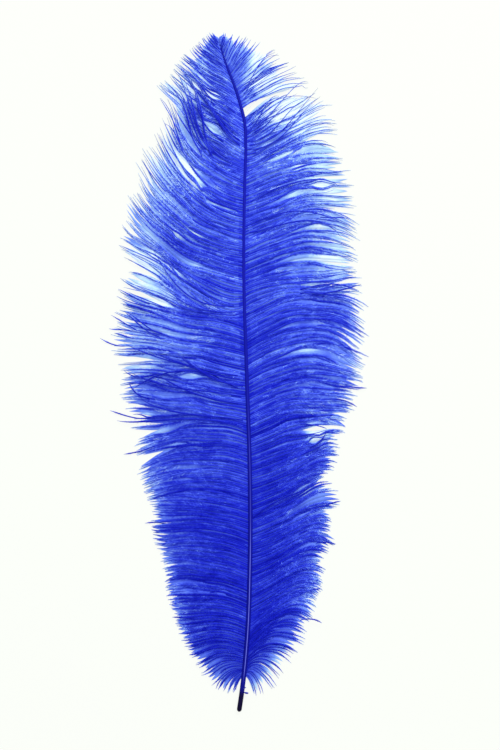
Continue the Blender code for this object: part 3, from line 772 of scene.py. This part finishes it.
def grown_down(side, vane):
    """Where the hairs of a vane's down grow, which way, how long and how pale they are."""
    chance = np.random.default_rng(SEED * 7 + side)
    loose = airy(side, vane["place"])
    hairs = []
    for number, line in enumerate(vane["points"]):
        way = np.concatenate(((0,), np.cumsum(np.linalg.norm(np.diff(line, axis=0), axis=1))))
        place, fluff = vane["place"][number], vane["fluff"][number]
        count = int(way[-1] * DOWN_DENSITY * fluff**0.5)
        even = (np.arange(count) + chance.uniform(-DOWN_JITTER, DOWN_JITTER, count) + 0.5) / count
        share = even**DOWN_CROWDING
        distance = share * way[-1]
        root = on_line(line, way, distance)
        along = on_line(line, way, distance + 0.5) - on_line(line, way, distance - 0.5)
        along /= np.linalg.norm(along, axis=1)[:, None] + 1e-9
        flank = np.where(np.arange(count) % 2, 1.0, -1.0)[:, None]
        angle = np.radians(chance.normal(*DOWN_ANGLE, (count, 1)))
        tilt = np.radians(chance.normal(*DOWN_TILT, (count, 1)))
        across = np.stack((-along[:, 1], along[:, 0], np.zeros(count)), axis=1) * flank
        outwards = across * np.cos(tilt) + np.array((0, 0, 1)) * np.sin(tilt)
        taper = 0.14 + 0.86 * ((1 - share) / (0.2 + 0.12 * loose[number])).clip(0, 1)
        size = (0.15 + 0.85 * fan_size(place)) * (0.3 + 0.7 * fluff) * (0.6 + 0.4 * smooth(0.15, 0.6, share))
        size = size * (1 - 0.6 * clearing(root[:, :2])) * (1 - 0.5 * openness(root[:, :2]))
        size = size * (1 - 0.2 * loose[number] * smooth(0.5, 0.9, share))
        tone = np.interp(share, vane["t"][number], vane["web_shade"][number])
        tone = tone + (0.04 + 0.12 * loose[number]) * smooth(0.35, 0.9, share)
        tone = tone + (0.12 + 0.12 * (1 - smooth(150, 200, place))) * smooth(0.72, 1.0, share)
        inner = 0.2 + 0.12 * loose[number]
        hairs.append({
            "root": root,
            "growth": along * np.cos(angle) + outwards * np.sin(angle),
            "reach": chance.uniform(*DOWN_REACH, count) * taper * size,
            "width": chance.uniform(*DOWN_BREADTH, count) * (0.45 + 0.55 * taper) * size**0.5,
            "shade": (tone + chance.normal(0, DOWN_MOTTLE, count)).clip(*DOWN_SHADES),
            "along": share * 0.98,
            "paling": inner + (1 - inner) * smooth(0.5, 0.95, share),
            "place": np.full(count, place),
        })
    return {key: np.concatenate([hair[key] for hair in hairs]) for key in hairs[0]}


# ------------------------------------------------------------------ meshes from points

LINE_VALUES = ("girth", "shade", "along")
HAIR_VALUES = ("growth", "reach", "width", "paling")
RING_SPREAD = 0.006  # how far the points around one ring lie apart on the map
WEB_ACROSS = (0.5, 0.03, 0.5, 0.97)  # where a web's middle and edges lie in a column of its map


def to_world(points):
    """Millimetres from the quill's end to metres in the frame."""
    return (points * MM + FEATHER_START).astype(np.float32)


def point_mesh(name, points, values):
    """A mesh of single points, each with its own numbers and directions."""
    mesh = bpy.data.meshes.new(name)
    mesh.vertices.add(len(points))
    mesh.vertices.foreach_set("co", to_world(points).ravel())
    for key, entry in values.items():
        kind, field = ("FLOAT_VECTOR", "vector") if entry.ndim == 2 else ("FLOAT", "value")
        carried = mesh.attributes.new(key, kind, "POINT")
        carried.data.foreach_set(field, entry.astype(np.float32).ravel())
    return mesh


def line_mesh(name, *groups):
    """A mesh of open lines with values on their points. The lines of a group have as many points each."""
    firsts, total = [], 0
    for group in groups:
        count, steps = group["points"].shape[:2]
        firsts.append((total + np.arange(count)[:, None] * steps + np.arange(steps - 1)).ravel())
        total += count * steps
    points = np.concatenate([group["points"].reshape(-1, 3) for group in groups])
    values = {key: np.concatenate([group[key].ravel() for group in groups]) for key in LINE_VALUES}
    mesh = point_mesh(name, points, values)
    first = np.concatenate(firsts)
    mesh.edges.add(len(first))
    mesh.edges.foreach_set("vertices", np.stack((first, first + 1), axis=1).ravel())
    return mesh


# ------------------------------------------------------------------ nodes


class Value:
    """A result of a node that takes part in sums like a number."""

    def __init__(self, nodes, socket):
        self.nodes = nodes
        self.socket = socket

    def sum(self, operation, first, second):
        return self.nodes.add("ShaderNodeMath", {"operation": operation}, {0: first, 1: second})

    def __add__(self, other):
        return self.sum("ADD", self, other)

    __radd__ = __add__

    def __sub__(self, other):
        return self.sum("SUBTRACT", self, other)

    def __rsub__(self, other):
        return self.sum("SUBTRACT", other, self)

    def __mul__(self, other):
        return self.sum("MULTIPLY", self, other)

    __rmul__ = __mul__

    def __truediv__(self, other):
        return self.sum("DIVIDE", self, other)

    def floor(self):
        return self.sum("FLOOR", self, 0.0)

    def size(self):
        return self.sum("ABSOLUTE", self, 0.0)

    def above(self, low, high):
        """0 below low, 1 above high, and smooth between the two."""
        sockets = {"Value": self, "From Min": low, "From Max": high}
        return self.nodes.add("ShaderNodeMapRange", {"interpolation_type": "SMOOTHSTEP"}, sockets)


class Nodes:
    """A tree of nodes, to which they are added one by one."""

    def __init__(self, tree):
        self.tree = tree

    def put(self, socket, value):
        if isinstance(value, Value):
            self.tree.links.new(value.socket, socket)
        else:
            socket.default_value = value

    def add(self, kind, settings, sockets, result=0):
        """A result of a new node. Its settings come first, because they can change its sockets."""
        node = self.tree.nodes.new(kind)
        for key, value in settings.items():
            setattr(node, key, value)
        for key, value in sockets.items():
            self.put(node.inputs[key], value)
        return Value(self, node.outputs[result])


class Growth(Nodes):
    """Geometry nodes with named inputs: sizes and the material."""

    def __init__(self, name, *sizes):
        super().__init__(bpy.data.node_groups.new(name, "GeometryNodeTree"))
        face = self.tree.interface
        face.new_socket("Geometry", in_out="INPUT", socket_type="NodeSocketGeometry")
        for key in sizes:
            face.new_socket(key, in_out="INPUT", socket_type="NodeSocketFloat")
        face.new_socket("Material", in_out="INPUT", socket_type="NodeSocketMaterial")
        face.new_socket("Geometry", in_out="OUTPUT", socket_type="NodeSocketGeometry")
        self.start = self.tree.nodes.new("NodeGroupInput")

    def given(self, name):
        return Value(self, self.start.outputs[name])

    def carried(self, name, kind="FLOAT"):
        return self.add("GeometryNodeInputNamedAttribute", {"data_type": kind}, {"Name": name})

    def lines(self):
        return self.add("GeometryNodeMeshToCurve", {}, {"Mesh": self.given("Geometry")})

    def sweep(self, line, profile):
        """The profile along each line, as wide as the line's girth says."""
        sockets = {"Curve": line, "Profile Curve": profile, "Scale": self.carried("girth"), "Fill Caps": True}
        return self.add("GeometryNodeCurveToMesh", {}, sockets)

    def close(self, shape):
        """Ends the tree in plain geometry with its material."""
        real = self.add("GeometryNodeRealizeInstances", {}, {"Geometry": shape})
        sockets = {"Geometry": real, "Material": self.given("Material")}
        dressed = self.add("GeometryNodeSetMaterial", {}, sockets)
        self.put(self.tree.nodes.new("NodeGroupOutput").inputs["Geometry"], dressed)
        return self.tree


# ------------------------------------------------------------------ grown meshes


def thread_tree():
    """Thin threads with three sides, along lines."""
    tree = Growth("barb_threads")
    ring = tree.add("GeometryNodeCurvePrimitiveCircle", {}, {"Resolution": 3, "Radius": MM})
    return tree.close(tree.sweep(tree.lines(), ring))


def ribbon_tree():
    """Flat ribbons with a low roof, along lines."""
    tree = Growth("down_ribbons", "Roof")
    level = tree.add("GeometryNodeSetCurveNormal", {"mode": "Z_UP"}, {"Curve": tree.lines()})
    sizes = {"Width": 2 * MM, "Bottom Height": tree.given("Roof"), "Top Height": WEB_KEEL * MM}
    roof = tree.add("GeometryNodeCurvePrimitiveQuadrilateral", {"mode": "KITE"}, sizes)
    return tree.close(tree.sweep(level, roof))


def hair_tree():
    """A short hair with three sides on every point, wide along the table and thin upwards."""
    tree = Growth("down_hairs", "Width", "Thickness", "Length")
    sizes = {"Vertices": 3, "Radius Top": 0.0, "Radius Bottom": MM, "Depth": MM}
    hair = tree.add("GeometryNodeMeshCone", {}, sizes)
    growth = tree.carried("growth", "FLOAT_VECTOR")
    outwards = tree.add("FunctionNodeAlignRotationToVector", {"axis": "Z"}, {"Vector": growth})
    up = {"Rotation": outwards, "Vector": (0.0, 0.0, 1.0)}
    flat = tree.add("FunctionNodeAlignRotationToVector", {"axis": "X", "pivot_axis": "Z"}, up)
    length = tree.carried("reach") * tree.given("Length")
    width = tree.carried("width") * tree.given("Width")
    size = tree.add("ShaderNodeCombineXYZ", {}, {"X": tree.given("Thickness"), "Y": width, "Z": length})
    fringe = {"Points": tree.given("Geometry"), "Instance": hair, "Rotation": flat, "Scale": size}
    return tree.close(tree.add("GeometryNodeInstanceOnPoints", {}, fringe))


def grow(tree, mesh, inputs):
    """The plain mesh that a tree makes of a mesh."""
    name = mesh.name
    seedling = bpy.data.objects.new(name + "_seed", mesh)
    bpy.context.scene.collection.objects.link(seedling)
    modifier = seedling.modifiers.new("grow", "NODES")
    modifier.node_group = tree
    for item in tree.interface.items_tree:
        if item.in_out == "INPUT" and item.name in inputs:
            modifier[item.identifier] = inputs[item.name]
    seedling.update_tag()
    depsgraph = bpy.context.evaluated_depsgraph_get()
    grown = bpy.data.meshes.new_from_object(seedling.evaluated_get(depsgraph))
    seedling.modifiers.remove(modifier)
    bpy.data.objects.remove(seedling)
    bpy.data.meshes.remove(mesh)
    grown.name = name
    return grown


def read_values(mesh, name):
    values = np.zeros(len(mesh.vertices), np.float32)
    mesh.attributes[name].data.foreach_get("value", values)
    return values


def corner_points(mesh):
    """The point at each corner of the faces."""
    corner = np.zeros(len(mesh.loops), np.int32)
    mesh.loops.foreach_get("vertex_index", corner)
    return corner


def add_map(mesh, across, along, margin):
    """The piece's UV map. The values that its points carried are of no more use then."""
    layer = mesh.uv_layers.new(name=UV_MAP)
    layer.data.foreach_set("uv", np.stack((across, along), axis=1).clip(margin, 1 - margin).ravel())
    for name in LINE_VALUES + HAIR_VALUES:
        if name in mesh.attributes:
            mesh.attributes.remove(mesh.attributes[name])


def colour_map(mesh, lifts):
    """Maps each face corner to its shade and its place along the barb.

    The lifts are how much paler each point of a ring is than the barb or the hair itself.
    """
    shade, along = read_values(mesh, "shade"), read_values(mesh, "along")
    number = np.arange(len(shade)) % len(lifts)
    turn = number * tau / len(lifts)
    lift = np.array(lifts)[number]
    if "paling" in mesh.attributes:
        lift = lift * read_values(mesh, "paling")
    corner = corner_points(mesh)
    shade = shade + lift + RING_SPREAD * np.cos(turn)
    add_map(mesh, shade[corner], (along + RING_SPREAD * np.sin(turn))[corner], 0.01)


def web_map(mesh):
    """Maps each face corner to its place across the web, in the column of its shade, and along it."""
    shade, along = read_values(mesh, "shade"), read_values(mesh, "along")
    across = np.tile(WEB_ACROSS, len(shade) // len(WEB_ACROSS))
    corner = corner_points(mesh)
    first = np.zeros(len(mesh.polygons), np.int32)
    mesh.polygons.foreach_get("loop_start", first)
    face_shade = np.minimum.reduceat(shade[corner], first)
    corners = np.diff(np.append(first, len(corner)))
    column = np.repeat(np.floor(face_shade.clip(0, 0.999) * WEB_SHADES), corners)
    add_map(mesh, (column + across[corner]) / WEB_SHADES, along[corner], 0.002)


def add_piece(mesh):
    piece = bpy.data.objects.new(mesh.name, mesh)
    bpy.context.scene.collection.objects.link(piece)
    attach(piece, "root")
    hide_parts("feather")


# ------------------------------------------------------------------ finishes


class Finish(Nodes):
    """A material and the nodes that colour it."""

    def __init__(self, name, **surface):
        self.material = bpy.data.materials.new(name)
        self.material.use_nodes = True
        super().__init__(self.material.node_tree)
        self.feed(**surface)

    def feed(self, **surface):
        """Puts numbers, colours and values into the surface's own sockets."""
        inputs = self.tree.nodes["Principled BSDF"].inputs
        for key, value in surface.items():
            self.put(inputs[key.replace("_", " ")], value)

    def map_ways(self):
        """A place on the piece's own map, and its two ways one by one."""
        place = self.add("ShaderNodeUVMap", {"uv_map": UV_MAP}, {})
        ways = (self.add("ShaderNodeSeparateXYZ", {}, {"Vector": place}, way) for way in ("X", "Y"))
        return place, *ways

    def noise(self, place, scale, detail=2.0):
        sockets = {"Vector": place, "Scale": scale, "Detail": detail}
        return self.add("ShaderNodeTexNoise", {"noise_dimensions": "3D"}, sockets)

    def ramp(self, factor, *stops):
        """Colours in a row: each stop is a place and a colour."""
        node = self.tree.nodes.new("ShaderNodeValToRGB")
        self.put(node.inputs["Fac"], factor)
        band = node.color_ramp
        while len(band.elements) < len(stops):
            band.elements.new(0.5)
        for element, (place, colour) in zip(band.elements, stops):
            element.position = place
            element.color = (*colour, 1.0)
        return Value(self, node.outputs["Color"])

    def mix(self, factor, first, second):
        return self.add("ShaderNodeMix", {"data_type": "RGBA"}, {0: factor, 6: first, 7: second}, 2)

    def paint_glow_through(self, tone, dark, rough):
        """Colours down with a painted glow in its own colour, which stands for light that comes through it;
        its lit colour is darkened by the given share.
        """
        colour = self.ramp(tone, *BLUES)
        self.feed(Base_Color=self.mix(dark, colour, BLACK), Emission_Color=colour, Roughness=rough)
        return self.material


NAVY = (0.002, 0.004, 0.3)
DEEP_BLUE = (0.0045, 0.0095, 0.45)
ROYAL_BLUE = (0.017, 0.032, 0.53)
CLEAR_BLUE = (0.058, 0.106, 0.75)
PALE_BLUE = (0.17, 0.3, 0.88)
MIST_BLUE = (0.44, 0.66, 0.95)
FOG_BLUE = (0.7, 0.85, 1.0)
SLATE = (0.045, 0.065, 0.18, 1.0)
# The colour of the painted highlight along the shaft's top.
HIGHLIGHT_BLUE = (0.13, 0.15, 0.62, 1.0)
BLACK = (0.0, 0.0, 0.0, 1.0)
# The dye, from where it lies thickest to where the light shines through.
BLUES = (
    (0.0, NAVY),
    (0.2, DEEP_BLUE),
    (0.42, ROYAL_BLUE),
    (0.62, CLEAR_BLUE),
    (0.78, PALE_BLUE),
    (0.9, MIST_BLUE),
    (1.0, FOG_BLUE),
)
# The shaft, from the near-black end of the quill to the tip.
SHAFT_BLUES = (
    (0.0, (0.002, 0.0005, 0.012)),
    (0.026, (0.003, 0.001, 0.03)),
    (0.034, (0.002, 0.003, 0.16)),
    (0.06, (0.002, 0.003, 0.2)),
    (0.5, (0.003, 0.005, 0.24)),
    (0.8, (0.004, 0.006, 0.27)),
    (1.0, (0.003, 0.006, 0.22)),
)


def hair_finish():
    # the hairs have a weak painted glow in their own colour, for the light that comes through them
    finish = Finish("dyed_down", Specular_IOR_Level=0.05, Emission_Strength=0.25)
    place, shade, _ = finish.map_ways()
    mottle = finish.noise(place, 30.0)
    return finish.paint_glow_through(shade + 0.28 * (mottle - 0.5), 0.22, 0.65 + 0.25 * mottle)


def web_finish():
    """Streaks along each web, which is paler towards its edges, with a weak painted glow for the light that
    comes through it.
    """
    finish = Finish("dyed_web", Specular_IOR_Level=0.05, Emission_Strength=0.25)
    _, across, along = finish.map_ways()
    column = (across * WEB_SHADES).floor()
    within = across * WEB_SHADES - column
    own_place = {"X": within * 6.0, "Y": along * 17.0, "Z": column * 7.3}
    streaks = finish.noise(finish.add("ShaderNodeCombineXYZ", {}, own_place), 1.0)
    edge = (within - 0.5).size().above(0.05, 0.35)
    tone = column / WEB_SHADES + 0.3 * (streaks - 0.5) + 0.24 * edge - 0.12
    return finish.paint_glow_through(tone, 0.22, 0.65 + 0.25 * streaks)


def haze_finish():
    """The finest down, with a strong painted glow that stands for much of the light from the table coming
    back through it.
    """
    finish = Finish("dyed_haze", Specular_IOR_Level=0.05, Emission_Strength=0.62)
    place, shade, _ = finish.map_ways()
    mottle = finish.noise(place, 24.0)
    low, high = HAZE_TONES
    return finish.paint_glow_through(low + (high - low) * shade + 0.12 * (mottle - 0.5), 0.6, 0.7 + 0.2 * mottle)


def barb_finish():
    finish = Finish("dyed_barb", Specular_IOR_Level=0.08)
    place, shade, along = finish.map_ways()
    mottle = finish.noise(place, 40.0)
    tone = shade * 0.6 + 0.1 + 0.3 * (mottle - 0.5)
    blue = finish.ramp(tone, (0.0, NAVY), (0.25, DEEP_BLUE), (0.7, ROYAL_BLUE), (1.0, CLEAR_BLUE))
    tip = (along + 0.06 * (mottle - 0.5)).above(0.88, 1.0)
    finish.feed(Base_Color=finish.mix(tip, blue, SLATE), Roughness=0.4 + 0.3 * mottle)
    return finish.material


def shaft_finish():
    """A satin shaft with a painted highlight, a thin pale line along its top, which fades towards the tip."""
    finish = Finish("dyed_shaft", Specular_IOR_Level=0.06)
    place, around, along = finish.map_ways()
    grain = finish.noise(place, 60.0, 4.0)
    # painted highlight: a thin pale line along the shaft's top, which fades towards the tip
    line = 1 - ((around - 0.24).size() + 0.01 * grain).above(0.01, 0.034)
    faded = 1 - 0.7 * along.above(0.22, 0.3) - 0.3 * along.above(0.36, 0.5)
    with_highlight = finish.mix(line * faded * along.above(0.04, 0.07), finish.ramp(along, *SHAFT_BLUES), HIGHLIGHT_BLUE)
    rough = finish.add("ShaderNodeBump", {}, {"Height": grain, "Strength": 0.25, "Distance": 0.0003})
    finish.feed(Base_Color=with_highlight, Roughness=0.45 + 0.25 * grain, Normal=rough)
    return finish.material


# ------------------------------------------------------------------ pieces

# Broken barbs beside the quill, read from the picture: where the root and the tip are, and the radius in mm.
STUBS = ((242.5, 691.8, 248.4, 692.8, 0.7), (242.8, 688.5, 246.0, 686.8, 0.4))
STUB_STEPS = 8
SHAFT_SIDES = 20
SHAFT_RINGS = 150
QUILL_RINGS = 8  # close together, for the round end
QUILL_ROUNDING = 1.6  # how long the round end is


def shaft():
    """The quill and shaft: one tapered tube with a rounded end."""
    length = SHAFT_LINE[-1][0]
    place = np.concatenate((np.linspace(0, 3, QUILL_RINGS), np.linspace(4.5, length, SHAFT_RINGS)))
    girth = between(SHAFT_GIRTH, place)
    radius = girth[:, 0] * np.sqrt(1 - (1 - np.clip(place / QUILL_ROUNDING, 0.02, 1)) ** 2)
    middle, right = shaft_middle(place), shaft_right(place)
    turn = np.arange(SHAFT_SIDES) * tau / SHAFT_SIDES
    ring = np.zeros((len(place), SHAFT_SIDES, 3))
    ring[..., :2] = middle[:, None] + right[:, None] * (radius[:, None] * np.cos(turn))[..., None]
    ring[..., 2] = girth[:, 1][:, None] + radius[:, None] * np.sin(turn)
    ends = np.array(((*middle[0], girth[0, 1]), (*middle[-1], girth[-1, 1])))
    points = np.concatenate((ring.reshape(-1, 3), ends))
    last = (len(place) - 1) * SHAFT_SIDES
    faces, ways = [], []
    for start in range(0, last, SHAFT_SIDES):
        low, high = place[start // SHAFT_SIDES : start // SHAFT_SIDES + 2] / length
        for j in range(SHAFT_SIDES):
            a, b = start + j, start + (j + 1) % SHAFT_SIDES
            faces.append((a, a + SHAFT_SIDES, b + SHAFT_SIDES, b))
            u, v = j / SHAFT_SIDES, (j + 1) / SHAFT_SIDES
            ways += [(u, low), (u, high), (v, high), (v, low)]
    for j in range(SHAFT_SIDES):
        after = (j + 1) % SHAFT_SIDES
        u, v = j / SHAFT_SIDES, (j + 1) / SHAFT_SIDES
        faces.append((j, after, len(points) - 2))
        ways += [(u, 0.006), (v, 0.006), ((u + v) / 2, 0.0)]
        faces.append((last + after, last + j, len(points) - 1))
        ways += [(v, 0.994), (u, 0.994), ((u + v) / 2, 1.0)]
    mesh = bpy.data.meshes.new("shaft")
    mesh.from_pydata(to_world(points).tolist(), [], faces)
    layer = mesh.uv_layers.new(name=UV_MAP)
    layer.data.foreach_set("uv", np.array(ways, np.float32).ravel())
    mesh.shade_smooth()
    mesh.materials.append(shaft_finish())
    add_piece(mesh)


def threads(name, look, *groups):
    """A piece of tapered threads."""
    tree, material = look
    mesh = grow(tree, line_mesh(name, *groups), {"Material": material})
    colour_map(mesh, (0, 0, 0))
    add_piece(mesh)


def ribbons(name, look, roof, lines):
    """The plain mesh of ribbons with a roof of the given height."""
    tree, material = look
    return grow(tree, line_mesh(name, lines), {"Roof": roof * MM, "Material": material})


def stubs(look):
    """Two broken barbs beside the quill."""
    t = np.linspace(0, 1, STUB_STEPS)
    rows = np.array(STUBS)
    root, tip = from_picture(rows[:, 0:2]), from_picture(rows[:, 2:4])
    line = root[:, None] + (tip - root)[:, None] * t[:, None]
    height = np.repeat(between(SHAFT_GIRTH, root[:, 1])[:, 1:2], STUB_STEPS, axis=1)
    girth = rows[:, 4:5] * (0.4 + 0.6 * np.sin(pi * np.clip(t * 1.2 - 0.3, 0, 1)))
    threads("stubs", look, {
        "points": np.concatenate((line, height[..., None]), axis=-1),
        "girth": girth,
        "shade": np.full(girth.shape, 0.02),
        "along": np.broadcast_to(0.1 + 0.3 * t, girth.shape),
    })


def barbs(side, vane, look):
    """The barbs' own threads, where they stand out from the down."""
    thick, thin = THREAD_GIRTH
    early = (vane["place"] > UPPER_PLACE) | (vane["place"] < FOOT_PLACE) | vane["is_loose"]
    groups = []
    for first, chosen in ((THREAD_FROM, ~early), (EARLY_THREAD_FROM, early)):
        points, t = vane["points"][chosen, first:], vane["t"][chosen, first:]
        start = t[:, :1]
        out = (t - start) / (1 - start)
        girth = (thick + (thin - thick) * out) * smooth(-0.1, 0.3, out) * (1 - 0.6 * smooth(0.85, 1, out))
        groups.append({
            "points": points + np.array((0, 0, THREAD_RISE)),
            "girth": girth * vane["stout"][chosen, None],
            "shade": np.repeat(vane["shade"][chosen, None], points.shape[1], axis=1),
            "along": vane["along"][chosen, first:],
        })
    threads("barbs_" + SIDES[side], look, *groups)


def webs(side, vane, look):
    """The dense down beside each barb, where no hair shows on its own: a ribbon that ends in a point."""
    points, t = vane["points"].copy(), vane["t"]
    points[..., 2] = np.maximum(points[..., 2] - 0.15, 0.1)
    upper = airy(side, vane["place"])[:, None]
    full = WEB_WIDTH * (0.85 + 0.15 * smooth(0.1, 0.4, t)) * (1 - 0.6 * clearing(points[..., :2]))
    full = full * fan_size(vane["place"])[:, None] * (0.35 + 0.65 * vane["fluff"][:, None])
    girth = 0.05 + full * ((1 - t) / (0.18 + 0.14 * upper)).clip(0, 1)
    lines = {"points": points, "girth": girth, "shade": vane["web_shade"], "along": t}
    mesh = ribbons("web_" + SIDES[side], look, WEB_ROOF, lines)
    web_map(mesh)
    add_piece(mesh)


def haze(side, look):
    mesh = ribbons("haze_" + SIDES[side], look, HAZE_ROOF, haze_lines(side))
    colour_map(mesh, (0, HAZE_PALING, 0, HAZE_PALING))
    add_piece(mesh)


def down(side, vane, look):
    """The hairs of a vane's down, in pieces from the quill to the tip."""
    tree, material = look
    inputs = {"Width": DOWN_WIDTH, "Thickness": DOWN_THICKNESS, "Length": DOWN_LENGTH, "Material": material}
    hairs = grown_down(side, vane)
    root, growth = hairs.pop("root"), hairs["growth"]
    root[:, 2] = np.maximum(root[:, 2], 0.3)
    sinks = root[:, 2] + growth[:, 2] * DOWN_LENGTH < 0.1
    growth[sinks, 2] = np.abs(growth[sinks, 2]) * 0.5
    place = hairs.pop("place")
    edges = np.quantile(place, np.linspace(0, 1, DOWN_PIECES + 1))
    edges[-1] += 1
    for number in range(DOWN_PIECES):
        part = (place >= edges[number]) & (place < edges[number + 1])
        values = {key: entry[part] for key, entry in hairs.items()}
        mesh = grow(tree, point_mesh(f"down_{SIDES[side]}_{number + 1}", root[part], values), inputs)
        colour_map(mesh, (DOWN_PALING, 0, 0, 0))
        add_piece(mesh)


def feather():
    shaft()
    thread_look = (thread_tree(), barb_finish())
    ribbon, web_material, haze_material = ribbon_tree(), web_finish(), haze_finish()
    hair_look = (hair_tree(), hair_finish())
    stubs(thread_look)
    for side in (LEFT, RIGHT):
        vane = vane_barbs(side)
        barbs(side, vane, thread_look)
        webs(side, vane, (ribbon, web_material))
        haze(side, (ribbon, haze_material))
        down(side, vane, hair_look)


# ------------------------------------------------------------------ table, light and camera

CAMERA_HEIGHT = 2.0
SENSOR = 36.0
TABLE_SIZE = 6.0
TABLE_TOP = -0.0002  # just under the feather
PAPER_WHITE = (0.98, 1.0, 0.965, 1.0)
PAPER_DARK = (0.033, 0.036, 0.026)
PAPER_LIGHT = (0.037, 0.04, 0.03)
PAPER_GLOW = 0.905
PAPER_GRAIN = 900.0
SKY_WHITE = (0.97, 1.0, 0.98, 1.0)
SKY_STRENGTH = 0.97
LAMP_PLACE = (0.5, 1.15, 1.25)
LAMP_SIZE = 0.9
LAMP_POWER = 33.0


def add_thing(name, data):
    thing = bpy.data.objects.new(name, data)
    bpy.context.scene.collection.objects.link(thing)
    return thing


def table():
    """White paper. Most of its white is its own glow, so it is even and takes only faint shadows."""
    half = TABLE_SIZE / 2
    mesh = bpy.data.meshes.new("table")
    corners = [(x * half, y * half, TABLE_TOP) for x, y in ((-1, -1), (1, -1), (1, 1), (-1, 1))]
    mesh.from_pydata(corners, [], [(0, 1, 2, 3)])
    finish = Finish("white_paper", Roughness=0.8, Emission_Color=PAPER_WHITE, Emission_Strength=PAPER_GLOW)
    fibre = finish.noise(finish.add("ShaderNodeTexCoord", {}, {}, "Object"), PAPER_GRAIN)
    finish.feed(Base_Color=finish.ramp(fibre, (0.3, PAPER_DARK), (0.7, PAPER_LIGHT)))
    mesh.materials.append(finish.material)
    top = add_thing("table", mesh)


def studio():
    """A white room with one round lamp beyond the feather's tip, on the right."""
    world = bpy.data.worlds.new("studio")
    bpy.context.scene.world = world
    world.use_nodes = True
    sky = world.node_tree.nodes["Background"]
    sky.inputs["Color"].default_value = SKY_WHITE
    sky.inputs["Strength"].default_value = SKY_STRENGTH
    light = bpy.data.lights.new("window", "AREA")
    light.shape = "DISK"
    light.size = LAMP_SIZE
    light.energy = LAMP_POWER
    lamp = add_thing("window", light)
    lamp.location = LAMP_PLACE
    lamp.rotation_euler = (-lamp.location).to_track_quat("-Z", "Y").to_euler()
    bpy.context.scene.view_settings.view_transform = "Standard"


def camera():
    """Straight above the middle of the picture, and as high as its lens needs to hold the picture."""
    centre = from_picture((PICTURE[0] / 2, PICTURE[1] / 2)) * MM + FEATHER_START[:2]
    lens = bpy.data.cameras.new("camera")
    lens.sensor_width = SENSOR
    lens.lens = SENSOR * CAMERA_HEIGHT / (PICTURE[1] * PICTURE_POINT * MM)
    lens.clip_end = 100.0
    holder = add_thing("camera", lens)
    holder.location = (*centre, CAMERA_HEIGHT)
    bpy.context.scene.camera = holder


feather()
table()
studio()
camera()
